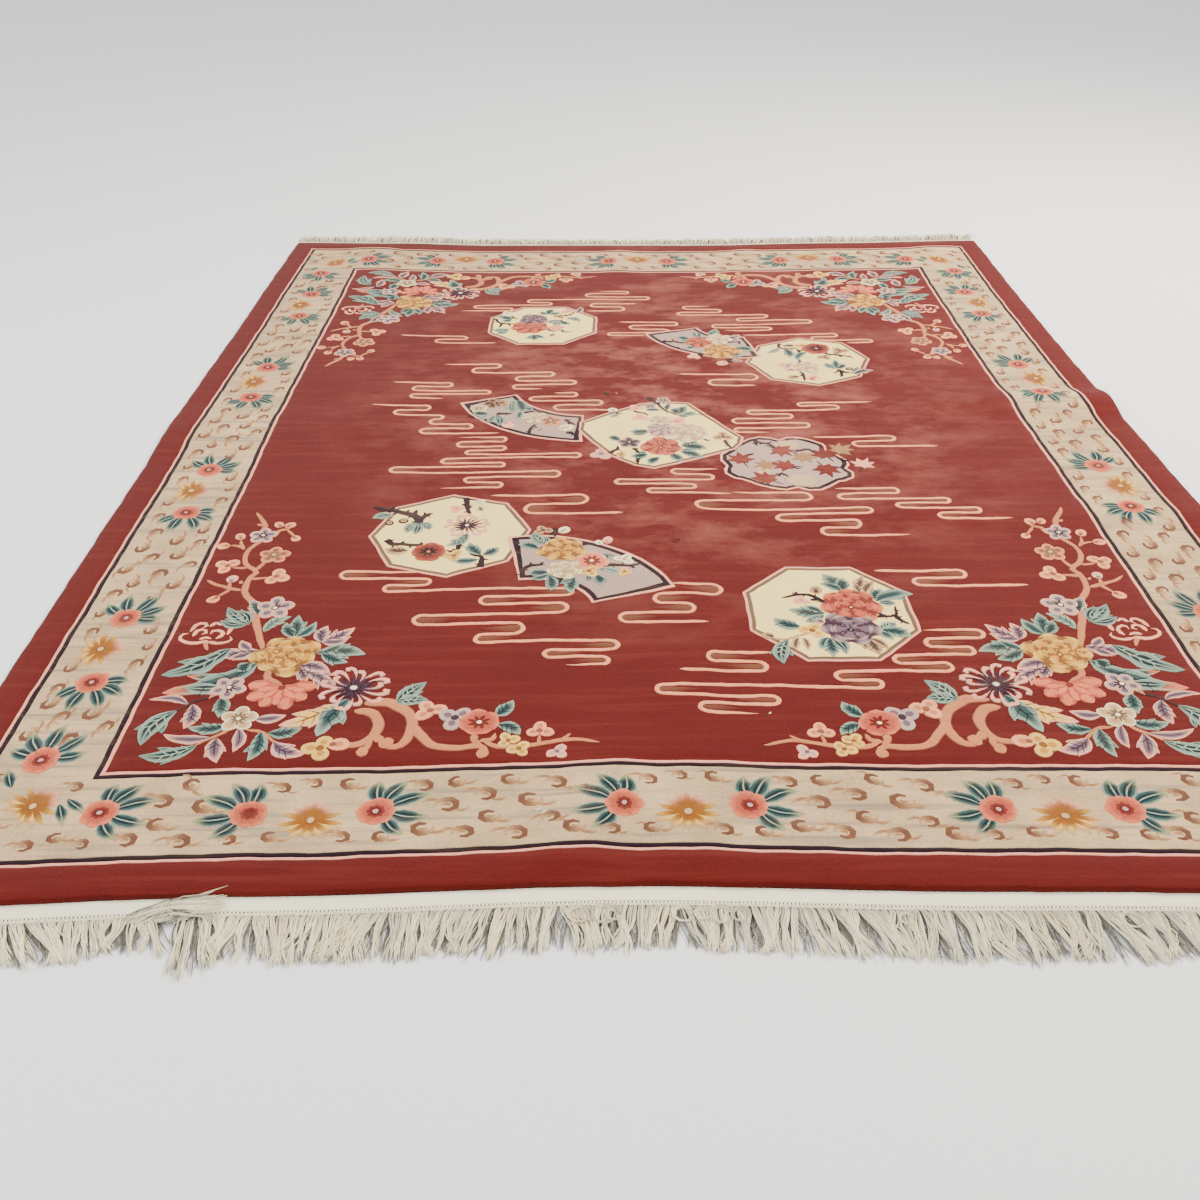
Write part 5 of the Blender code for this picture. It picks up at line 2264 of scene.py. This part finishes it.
MEDALLIONS["near_right_octagon"] = Plate(octagon(317, -808, 178, 22.5), **CREAM_GROUND), Chart(
    stalks=(
        (6, TWIG, 310, -779, 300, -764, 290, -755, 277, -748, 258, -750, 228, -763),
        (5, TWIG, 262, -748, 257, -739), (6, TWIG, 298, -766, 284, -768),
        (5, TWIG, 394, -826, 420, -826, 443, -824, 446, -808, 448, -790),
        (6, TWIG, 442, -825, 450, -840, 463, -854), (6, TWIG, 420, -825, 411, -816, 408, -804),
        (5, TAN_STALK, 176, -890, 196, -902, 220, -904, 245, -892, 264, -886),
    ),
    leaves=(
        (352, -736, 322, -672, 36, -60, TEAL), (356, -736, 361, -686, 30, 60, TEAL),
        (350, -736, 312, -708, 22, -100, TEAL), (390, -738, 404, -678, 24, 60, TAN),
        (398, -742, 422, -702, 22, 100, TAN), (388, -744, 382, -708, 18, 0, TAN),
        (414, -770, 432, -730, 28, 100, TEAL), (414, -774, 493, -752, 34, 160, TEAL),
        (420, -780, 452, -782, 20, 0, DARK), (306, -816, 238, -801, 32, 80, TEAL),
        (302, -812, 270, -788, 20, 60, TEAL), (302, -824, 264, -843, 24, 60, DARK),
        (252, -862, 206, -832, 30, 160, TEAL), (221, -908, 203, -984, 30, -120, DARK),
        (244, -900, 232, -938, 16, -100, TAN), (252, -900, 254, -938, 14, 100, TAN),
        (300, -900, 280, -934, 22, -60, TEAL), (302, -902, 298, -958, 26, 0, TEAL),
        (306, -900, 324, -950, 24, 100, DARK), (372, -902, 362, -936, 20, 0, TAN),
        (376, -902, 386, -952, 24, 0, TAN), (380, -900, 404, -934, 20, 80, TAN),
        (402, -868, 436, -848, 26, -60, DARK), (402, -872, 457, -896, 32, 100, TEAL),
        (402, -876, 420, -904, 20, 0, TEAL), (300, -848, 284, -838, 18, 0, LILAC),
    ),
    flowers=(
        (300, -732, 13, BUD, Bloom.TAN, 90), (266, -772, 15, TRIO, Bloom.BLUSH, 90),
        (345, -864, 56, PEONY, Bloom.PURPLE, 90), (360, -786, 60, PEONY, Bloom.PINK, 90),
        (273, -876, 24, TRIO, Bloom.YELLOW, 60), (186, -893, 10, BUD, Bloom.TAN, 150),
    ),
)

# Cloud ribbons: the first x of each, then y and the x that each run ends at.
RIBBONS: Table = (
    (-128, 1064, -35, 1041, -170, 1010, 30, 981, -355, 955, -280, 930, -520, 905, -400, 880, -560),
    (-12, 944, -155, 912, -50, 876, -165), (-70, 775, 110, 745, -35, 712, 80, 681, -100, 660, 10),
    (220, 920, 135, 891, 250, 864, 115, 836, 390, 808, 295, 783, 520, 753, 215, 724, 390, 700, 250),
    (300, 662, 580, 635, 500, 608, 677, 584, 600), (-720, 657, -520, 630, -610, 603, -430),
    (-560, 437, -405, 408, -480, 376, -250, 347, -355, 318, -190, 290, -360, 264, -280),
    (-245, 235, -185, 210, -310, 185, -120, 156, -245, 127, -90),
    (-690, 308, -525, 281, -630, 256, -420, 232, -630, 207, -540),
    (-725, 160, -570, 130, -660, 101, -530, 75, -560, 47, -450, 20, -580, -6, -380),
    (-480, -30, -360, -56, -480, -82, -360, -104, -455, -124, -178, -147, -510, -170, -360, -192, -628,
     -216, -226, -246, -448, -270, -358, -296, -500),
    (-380, -335, -160, -378, -300, -420, -80),
    (150, -207, 40, -234, 135, -260, -95, -284, 90, -306, -20, -328, 170),
    (170, -322, 350, -362, 85, -400, 475, -427, 260, -453, 440, -485, 350, -515, 540),
    (410, -305, 555, -331, 414, -357, 660, -382, 535, -406, 718, -430, 620, -452, 780),
    (433, -660, 617, -690, 505, -717, 733),
    (485, -873, 598, -901, 480, -928, 565, -953, 410, -977, 510, -1003, 295, -1028, 374, -1052, -35,
     -1078, 180, -1102, 40, -1127, 140),
    (185, -948, 65, -977, 170, -1005, 10),
    (-480, -655, -665, -683, -480, -706, -571, -729, -190, -754, -372, -783, -200, -815, -496, -850, -282,
     -885, -372, -912, -100, -940, -240, -963, -120, -987, -200),
    (10, -715, 110, -752, -25, -786, 50, -820, -95, -850, 75),
    (594, 168, 396, 148, 500, 124, 258, 100, 370, 74, 215, 46, 405, 20, 215, -6, 300),
    (400, -35, 605, -64, 497, -91, 700), (96, 362, 310, 323, 175, 286, 300),
)


@dataclass(frozen=True)
class CloudRibbons:
    """Drifting clouds, each one long pale ribbon that turns back on itself, tan in its bends."""

    width: float = 11.6 * MM
    step: float = 9.5 * MM          # along the ribbon
    drop_length: float = 0.080
    slope: float = 0.012            # how far a long run sags between its bends

    def line(self, row: tuple[float, ...]) -> tuple[np.ndarray, list[tuple[float, ...]]]:
        """Draw one ribbon's middle line.

        Args:
            row: a row of RIBBONS.

        Returns:
            The line's points, and x, y, side and half the gap of each bend.
        """
        points, bends = [], []
        x, *numbers = (value * MM for value in row)
        runs = list(zip(numbers[::2], numbers[1::2]))
        for number, (y, end) in enumerate(runs):
            side = 1.0 if end > x else -1.0
            turn = number < len(runs) - 1
            half = (y - runs[number + 1][0]) / 2 if turn else 0.0
            last = end - side * half
            count = max(2, round(abs(last - x) / self.step))
            share = np.linspace(0.0, 1.0, count, endpoint=False)
            sag = self.slope * abs(last - x) * np.sin(math.pi * share) * (1 if number % 2 else -1)
            points.append(np.stack([x + (last - x) * share, y + sag], axis=1))
            if turn:
                angle = np.linspace(math.pi / 2, -math.pi / 2, 8)
                points.append(
                    np.stack(
                        [last + side * half * np.cos(angle), y - half + half * np.sin(angle)], axis=1
                    )
                )
                bends.append((last, y - half, side, half))
                x = last
            else:
                points.append(np.array([[end, y]]))
        return np.vstack(points), bends

    def build(self, material: Material) -> list[Piece]:
        """Build the ribbons, one piece for each quarter of the field.

        Args:
            material: their finish.

        Returns:
            The pieces.
        """
        carvings = [Carving(f"cloud_ribbons_{n + 1}", seed=71 + n) for n in range(4)]
        for row in RIBBONS:
            line, bends = self.line(row)
            middle = line.mean(axis=0)
            carving = carvings[(1 if middle[0] > 0.02 else 0) + (2 if middle[1] > 0.02 else 0)]
            for x, y, side, half in bends:
                inside = max(half - self.width / 2 + 1.0 * MM, 3.0 * MM)
                start = x + side * (half - self.width / 2)
                carving.band(
                    Spot(),
                    (
                        (start, y), (start - side * self.drop_length / 2, y),
                        (start - side * self.drop_length, y)
                    ),
                    inside, (Dye.RIBBON_TAN, Dye.RIBBON_TAN), LEVELS.ribbon_drop, widths=DROP_WIDTHS,
                    stations=7, fade=(0.15, Dye.BRICK),
                )
            # The ribbon's sloped rims take a darker dye: painted shade along its clipped edges.
            carving.band(
                Spot(), line, self.width / 2, (Dye.RIBBON_EDGE, Dye.RIBBON), LEVELS.ribbon,
                widths=((0, 0.1), (0.01, 0.6), (0.03, 1.0), (0.97, 1.0), (0.99, 0.6), (1, 0.1)),
                stations=len(line) - 1, straight=True,
            )
        return [carving.finish(material) for carving in carvings]


@dataclass(frozen=True)
class Blemishes:
    """Small spots and nicks that the years left in the pile, and a thread of lint."""

    # x, y, radius and stretch in millimetres, and the dye that shows.
    # The darkest discs are the nicks, dark with painted shadow.
    spots: tuple = (
        (-105, 232, 8.0, 1.3, Dye.HOLE), (-80, 232, 2.2, 1.0, Dye.PALE_PINK),
        (30, -547, 5.0, 1.7, Dye.BRICK_DEEP), (36, -538, 3.0, 1.2, Dye.HOLE),
        (160, -1125, 1.9, 1.6, Dye.COTTON_WARM), (151, -1131, 2.8, 1.4, Dye.HOLE),
        (-236, -1370, 1.6, 4.0, Dye.COTTON_WARM), (-227, -1376, 1.6, 3.0, Dye.COTTON_WARM),
    )

    def build(self, material: Material) -> Piece:
        """Build them as one piece.

        Args:
            material: their finish.

        Returns:
            The piece.
        """
        carving = Carving("pile_spots_and_nicks", seed=91)
        for x, y, radius, stretch, dye in self.spots:
            carving.disc(
                Spot(), (x * MM, y * MM), radius * MM, (dye,), 0.5, spokes=8, stretch=stretch, turn=35,
                rings=DOT_RINGS,
            )
        return carving.finish(material)


def build_sprays(material: Material) -> list[Piece]:
    """Build the four corner sprays, a piece each.

    Args:
        material: their finish.

    Returns:
        The pieces.
    """
    pieces = []
    for number in range(4):
        right, far = number % 2 == 1, number > 1
        name = f"{'far' if far else 'near'}_{'right' if right else 'left'}"
        carving = Carving(f"corner_spray_{name}", seed=61 + number)
        CORNER_SPRAY.press(Gardener(carving, Spot(flip_x=right, flip_y=far), lower=0.6))
        pieces.append(carving.finish(material))
    return pieces


def build_medallions(material: Material) -> list[Piece]:
    """Build the nine medallions with their sprigs, a piece each.

    Args:
        material: their finish.

    Returns:
        The pieces.
    """
    pieces = []
    for number, (name, (plate, chart)) in enumerate(MEDALLIONS.items()):
        carving = Carving(f"medallion_{name}", seed=81 + number)
        plate.press(carving)
        chart.press(Gardener(carving))
        pieces.append(carving.finish(material))
    return pieces


# --- the flat-woven ends and the fringe ---
@dataclass(frozen=True)
class Web:
    """A flat-woven cotton end, with a twined edge that its warps hang from."""

    end: str                        # "near" or "far"
    cell: float = 6.1 * MM          # along the web
    pick: float = 4.0 * MM          # across it
    relief: float = 0.22 * MM
    twine_step: float = 6.1 * MM
    hole_step: float = 5.8 * MM     # between the holes that the knots pull open, drawn as dark discs of painted shadow

    def outward(self) -> float:
        """Sign of the direction out of the rug."""
        return -1.0 if self.end == "near" else 1.0

    def build_cloth(self, material: Material) -> Piece:
        """Build the woven strip, its crossings alternately high and low.

        Args:
            material: its finish.

        Returns:
            The piece.
        """
        columns, picks = round(2 * HALF_WIDTH / self.cell), round(WEB_WIDTH / self.pick)
        shape = bmesh.new()
        bmesh.ops.create_grid(shape, x_segments=columns, y_segments=picks, size=0.5)
        sign = self.outward()
        for vert in shape.verts:
            depth = WEB_GAP + (vert.co.y + 0.5) * WEB_WIDTH
            vert.co = (vert.co.x * 2 * HALF_WIDTH, sign * (HALF_LENGTH + depth), 0.0)
        raised = bmesh.ops.extrude_face_region(shape, geom=list(shape.faces), use_keep_orig=True)
        tops = [item for item in raised["geom"] if isinstance(item, bmesh.types.BMVert)]
        for vert in tops:
            column = round((vert.co.x / (2 * HALF_WIDTH) + 0.5) * columns)
            pick = round((abs(vert.co.y) - HALF_LENGTH - WEB_GAP) / WEB_WIDTH * picks)
            high = self.relief if (column + pick) % 2 else -self.relief
            vert.co.z = WEB_THICKNESS + high - 0.25 * MM
        bmesh.ops.recalc_face_normals(shape, faces=shape.faces)
        dye_all(shape, Dye.COTTON)
        piece = finish_piece(
            f"woven_web_{self.end}", shape, material, "cotton_warp", base=0.0, sharp_from=80.0
        )
        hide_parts(f"web_{self.end}")
        return piece

    def build_twining(self, material: Material) -> Piece:
        """Build the two rows of slanting stitches that hold the web's edge.

        Args:
            material: its finish.

        Returns:
            The piece.
        """
        carving = Carving(f"twined_edge_{self.end}", seed=31, foot=0.5 * MM, ragged=0.12 * MM)
        sign = self.outward()
        count = round(2 * HALF_WIDTH / self.twine_step)
        for row, slant in ((0, 1.0), (1, -1.0)):
            y = sign * (HALF_LENGTH + WEB_GAP + WEB_WIDTH - 1.4 * MM - row * 3.4 * MM)
            for number in range(count):
                x = -HALF_WIDTH + (number + 0.5) * self.twine_step
                reach = self.twine_step * 0.52
                path = ((x - reach, y - slant * 0.9 * MM), (x, y), (x + reach, y + slant * 0.9 * MM))
                dye = Dye.COTTON if number % 2 else Dye.COTTON_WARM
                carving.band(
                    Spot(), path, 1.35 * MM, (Dye.COTTON_GREY, dye), 3.2,
                    widths=((0, 0.35), (0.5, 1), (1, 0.35)), stations=3,
                )
        seam = sign * (HALF_LENGTH + WEB_GAP + WEB_WIDTH - 10.5 * MM)
        for start in np.linspace(-HALF_WIDTH, HALF_WIDTH, 13)[:-1]:
            ends = ((start, seam), (start + HALF_WIDTH / 6, seam))
            carving.band(
                Spot(), ends, 0.9 * MM, (Dye.COTTON_GREY, Dye.COTTON_WARM), 2.75, widths=((0, 1), (1, 1)),
                stations=16,
            )
        # the holes: dark discs of painted shadow
        edge = sign * (HALF_LENGTH + WEB_GAP + WEB_WIDTH - 6.6 * MM)
        for number in range(round(2 * HALF_WIDTH / self.hole_step)):
            at = (-HALF_WIDTH + (number + 0.5) * self.hole_step, edge)
            carving.disc(
                Spot(), at, 1.5 * MM, (Dye.HOLE,), 2.8, spokes=5, stretch=1.8, turn=90, rings=DOT_RINGS
            )
        return carving.finish(material, "cotton_warp", base=0.0)


@dataclass(frozen=True)
class Fringe:
    """Loose warps, many to each knot of the web's edge: combed locks that lie over a tangled mat."""

    end: str
    lengths: Table                  # x, length, lean of the tips
    knot_step: float
    yarns: int                      # to each knot
    radius: float
    stations: int
    loft: float                     # how high the yarns pile up
    mat: float = 0.42               # share of the yarns in the mat below
    bare: tuple[float, float] | None = None     # a stretch with no yarns, flipped up

    def paths(self, chance: np.random.Generator) -> list[tuple[float, bool, np.ndarray]]:
        """Draw every yarn's line.

        Args:
            chance: where the unevenness comes from.

        Returns:
            For each yarn the root's x, whether it lies in the mat, and the line's points, on the
            straight rug.
        """
        sign = -1.0 if self.end == "near" else 1.0
        knots = round(2 * HALF_WIDTH / self.knot_step)
        root_y = HALF_LENGTH + WEB_GAP + WEB_WIDTH - 1.5 * MM
        share = np.linspace(0.0, 1.0, self.stations + 1)
        lines = []
        below = round(self.yarns * self.mat)
        for knot in range(knots):
            x = -HALF_WIDTH + (knot + 0.5) * self.knot_step
            if self.bare and self.bare[0] < x < self.bare[1]:
                continue
            length = float(read_table(self.lengths, np.array(x), 1)) + chance.normal(0, 4 * MM)
            lean = float(read_table(self.lengths, np.array(x), 2))
            lean += (13 * math.sin(x * 31 + 1.0) + 10 * math.sin(x * 73 + 2.0)) * MM
            lock_lean, lock_phase = chance.normal(0, 10 * MM), chance.uniform(0, math.tau)
            lock_wave, lock_turns = chance.normal(0, 9 * MM), chance.uniform(0.5, 1.1)
            for number in range(self.yarns):
                mat = number < below
                spread = 0.55 if mat else 0.30
                start = x + chance.uniform(-spread, spread) * self.knot_step
                reach = length * (1 - abs(chance.normal(0.10 if mat else 0.0, 0.13)))
                if mat:
                    tip = start + lean + chance.normal(0, 12 * MM)
                    wave, phase, turns = chance.normal(0, 3.5 * MM), chance.uniform(0, math.tau), 0.9
                    top = chance.uniform(0.05, 0.40) * self.loft
                else:
                    tip = x + lean + lock_lean + 0.3 * (start - x) + chance.normal(0, 2.4 * MM)
                    wave = lock_wave + chance.normal(0, 2.4 * MM)
                    phase, turns = lock_phase + chance.normal(0, 0.35), lock_turns
                    top = chance.uniform(0.45, 1.0) * self.loft
                bunch = np.sin(math.pi * np.clip(share * 1.6, 0, 1)) * (start - x) * 0.9
                line_x = start + (tip - start) * share**1.2 + bunch
                line_x = line_x + wave * share * np.sin(math.tau * turns * share + phase)
                line_z = 1.2 * MM + self.radius + (top - 1.2 * MM) * np.sin(math.pi * share**0.66) ** 0.8
                line_y = root_y + reach * share - 1.5 * MM * np.sin(math.pi * share)
                lines.append((start, mat, np.stack([line_x, sign * line_y, line_z], axis=1)))
        return lines

    def press_yarn(self, carving: Carving, stencil: Stencil, line: np.ndarray, mat: bool) -> None:
        """Press one yarn along a line.

        Args:
            carving: the piece.
            stencil: a band with the yarn's section.
            line: rows of x, y, z.
            mat: whether it lies in the mat below, darker as painted shade under the locks.
        """
        station = stencil.along.astype(int)
        side = sideways(line)
        thin = self.radius * np.where(station == stencil.stations, 0.3, 1.0)
        plan = line[station, :2] + side[station] * (thin * stencil.across)[:, None]
        rise = line[station, 2] + thin * stencil.rise
        upper = (Dye.COTTON, Dye.COTTON_GREY, Dye.COTTON, Dye.COTTON_WARM)
        # painted shade: the mat below the locks takes the darker yarns
        shelf = (Dye.COTTON_SHADE, Dye.COTTON_GREY, Dye.COTTON_SHADE, Dye.COTTON_SHADE) if mat else upper
        dye = shelf[carving.chance.integers(4)]
        colours = np.tile(linear(dye.value), (len(stencil.corner), 1))
        # painted shade: every yarn darkens towards its root, where the yarns bunch at the web's edge
        root = (stencil.along[stencil.corner] / stencil.stations)[:, None]
        colours = colours * (0.66 + 0.34 * smooth_step(root * 3))
        carving.press(stencil, np.column_stack([plan, rise]), colours)

    def build(self, material: Material, parts: int) -> list[Piece]:
        """Build the fringe.

        Args:
            material: its finish.
            parts: how many pieces it is divided into along the rug's end.

        Returns:
            The pieces.
        """
        chance = np.random.default_rng(41 if self.end == "near" else 42)
        carvings = [Carving(f"fringe_{self.end}_{n + 1}", seed=50 + n) for n in range(parts)]
        stencil = Stencil.band(ROUND_YARN, self.stations)
        for start, mat, line in self.paths(chance) + self.strays(chance):
            number = int(min(parts - 1, max(0, (start / HALF_WIDTH + 1) / 2 * parts)))
            line[:, 2] = np.maximum(line[:, 2], self.radius * 0.55)
            self.press_yarn(carvings[number], stencil, line, mat)
        bpy.data.meshes.remove(stencil.mesh)
        return [carving.finish(material, "cotton_warp", base=0.0) for carving in carvings]

    def strays(self, chance: np.random.Generator) -> list[tuple[float, bool, np.ndarray]]:
        """Draw the clump that lies flipped over the near web, and a few loops.

        Args:
            chance: where the unevenness comes from.

        Returns:
            Rows as paths() gives.
        """
        if not self.bare:
            return []
        lines = []
        root_y = -(HALF_LENGTH + WEB_GAP + WEB_WIDTH - 1.5 * MM)
        for _ in range(120):
            start = chance.uniform(self.bare[0] - 0.060, self.bare[1] - 0.010)
            reach, spread = chance.uniform(0.55, 1.0), chance.normal(0, 1.0)
            points = np.array(
                [
                    (start, root_y, 2.0 * MM), (start + 0.012, root_y - 0.010, 6.0 * MM),
                    (start + 0.036, root_y - 0.002 + 0.004 * spread, 9.5 * MM),
                    (-0.765 + 0.05 * (start + 0.8), root_y + 0.008 + 0.005 * spread, 11.5 * MM),
                    (-0.722 + 0.05 * (reach - 1), root_y + 0.011 + 0.007 * spread, 11.0 * MM),
                    (-0.683 + 0.08 * (reach - 1), root_y + 0.015 + 0.010 * spread, 10.0 * MM),
                ]
            )
            points[:, 2] += chance.uniform(0.0, 5.0) * MM * np.array([0.1, 0.5, 1, 1, 1, 0.6])
            points[1:, :2] += chance.normal(0, 2.6 * MM, (5, 2))
            lines.append((start, reach < 0.65, smooth_path(points, self.stations)))
        for middle, size in (
            (-0.170, 13), (-0.158, 9), (-0.132, 15), (-0.118, 10), (-0.020, 12), (0.008, 8), (0.036, 14),
            (0.062, 10), (0.30, 9), (0.62, 12), (0.78, 14), (0.80, 9), (0.95, 13),
        ):
            for twist in range(3):
                angle = np.linspace(-0.6, 4.9, self.stations + 1) + 0.5 * twist
                loop = np.stack(
                    [
                        middle + (size + 2 * twist) * MM * np.cos(angle),
                        root_y - 0.024 + (size + 1.5 * twist) * MM * np.sin(angle),
                        np.full_like(angle, self.loft + (1.0 + twist) * MM),
                    ],
                    axis=1,
                )
                lines.append((middle, False, loop))
        return lines


NEAR_FRINGE = Fringe(
    "near",
    lengths=(
        (-1.22, 0.082, 0.040), (-0.90, 0.078, 0.042), (-0.815, 0.056, -0.004), (-0.730, 0.112, 0.030),
        (-0.69, 0.082, 0.016), (-0.50, 0.092, -0.006), (-0.30, 0.086, -0.012), (0.00, 0.084, -0.004),
        (0.20, 0.090, 0.014), (0.50, 0.096, 0.016), (0.80, 0.088, 0.018), (1.22, 0.086, 0.022),
    ),
    knot_step=11.6 * MM, yarns=21, radius=1.05 * MM, stations=7, loft=10.5 * MM, bare=(-0.780, -0.742),
)
FAR_FRINGE = Fringe(
    "far",
    lengths=(
        (-1.22, 0.064, -0.012), (-0.90, 0.078, 0.006), (-0.55, 0.070, -0.006), (-0.10, 0.060, 0.004),
        (0.50, 0.066, 0.000), (1.05, 0.068, 0.008), (1.22, 0.072, 0.018),
    ),
    knot_step=11.6 * MM, yarns=8, radius=1.45 * MM, stations=5, loft=12.0 * MM,
)


# --- the studio ---
@dataclass(frozen=True)
class Studio:
    """A pale floor, soft lamps overhead and a camera where the picture was taken from."""

    camera_at: tuple[float, float, float] = (-0.1401, -2.6748, 1.3277)
    pitch: float = 34.562           # degrees below level
    yaw: float = -0.160             # degrees against the clock, from above
    roll: float = -0.135
    lens: float = 34.882            # millimetres on a 36 mm sensor
    floor_size: float = 60.0

    def add_camera(self) -> None:
        """Set the camera up."""
        data = bpy.data.cameras.new("camera")
        data.lens, data.sensor_width = self.lens, 36.0
        camera = bpy.data.objects.new("camera", data)
        turn = (
            Matrix.Rotation(math.radians(self.yaw), 4, "Z")
            @ Matrix.Rotation(math.radians(90.0 - self.pitch), 4, "X")
            @ Matrix.Rotation(math.radians(self.roll), 4, "Z")
        )
        camera.matrix_world = Matrix.Translation(self.camera_at) @ turn
        bpy.context.scene.collection.objects.link(camera)
        bpy.context.scene.camera = camera

    def add_floor(self) -> None:
        """Lay the floor."""
        shape = bmesh.new()
        bmesh.ops.create_grid(shape, x_segments=1, y_segments=1, size=self.floor_size / 2)
        mesh = bpy.data.meshes.new("floor")
        shape.to_mesh(mesh)
        shape.free()
        mesh.materials.append(PlainFloor().make())
        floor = bpy.data.objects.new("floor", mesh)
        bpy.context.scene.collection.objects.link(floor)

    def add_lamp(self, name: str, at: tuple, size: float, power: float, colour: str) -> None:
        """Hang a soft square lamp that faces the rug's middle.

        Args:
            name: its name.
            at: where it hangs.
            size: its side.
            power: its power in watts.
            colour: its sRGB colour.
        """
        data = bpy.data.lights.new(name, "AREA")
        data.shape, data.size, data.energy = "SQUARE", size, power
        data.color = linear(colour)[:3]
        lamp = bpy.data.objects.new(name, data)
        lamp.location = at
        lamp.rotation_mode = "QUATERNION"
        lamp.rotation_quaternion = Vector(at).to_track_quat("Z", "Y")
        bpy.context.scene.collection.objects.link(lamp)

    def build(self) -> None:
        """Set the whole studio up."""
        self.add_camera()
        self.add_floor()
        self.add_lamp("key_lamp", (2.6, 1.2, 3.6), 1.6, 350.0, "#FFF4E6")
        self.add_lamp("fill_lamp", (-3.4, -1.4, 3.4), 3.0, 140.0, "#F3F6FF")
        world = bpy.data.worlds.new("soft_room")
        world.use_nodes = True
        background = world.node_tree.nodes["Background"]
        background.inputs["Color"].default_value = linear("#F2F4F7")
        background.inputs["Strength"].default_value = 1.34
        bpy.context.scene.world = world


def main() -> None:
    """Build the rug, piece by piece, and the studio round it."""
    field_wool = WoolPile("brick_red_wool_pile").make()
    border_wool = WoolPile(
        "beige_border_wool_pile", streak=0.24, mottle=0.50, wear_and_sheen=0.20, pale_wear_and_sheen="#E2C99C", lot="#8A7B68",
        lot_share=0.85,
    ).make()
    motif_wool = WoolPile(
        "dyed_motif_wool_pile", streak=0.06, mottle=0.10, wear_and_sheen=0.14, pale_wear_and_sheen="#D2A68A", lot="#A27C50",
        lot_share=0.10,
    ).make()
    cotton = CottonYarn("undyed_cotton_yarn").make()
    cloth = CottonYarn("woven_undyed_cotton", bump=0.7, weave=2.6 * MM).make()
    ground = Ground()
    foundation = ground.build_foundation(border_wool)
    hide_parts("pile")
    finishes = {"field": field_wool, "border": border_wool, "line": motif_wool}
    parts = [ground.build_zone(zone, finishes[zone.finish]) for zone in ZONES]
    parts += BorderDrawing().build(motif_wool)
    parts += build_sprays(motif_wool)
    parts += CloudRibbons().build(motif_wool)
    parts += build_medallions(motif_wool)
    parts.append(Blemishes().build(motif_wool))
    far_web = Web("far", cell=10.0 * MM, pick=6.0 * MM, twine_step=12.2 * MM, hole_step=11.6 * MM)
    for web, fringe, divisions in ((Web("near"), NEAR_FRINGE, 3), (far_web, FAR_FRINGE, 1)):
        strip = web.build_cloth(cloth)
        hangers = [web.build_twining(cotton), *fringe.build(cotton, divisions)]
    Studio().build()


if __name__ == "__main__":
    main()
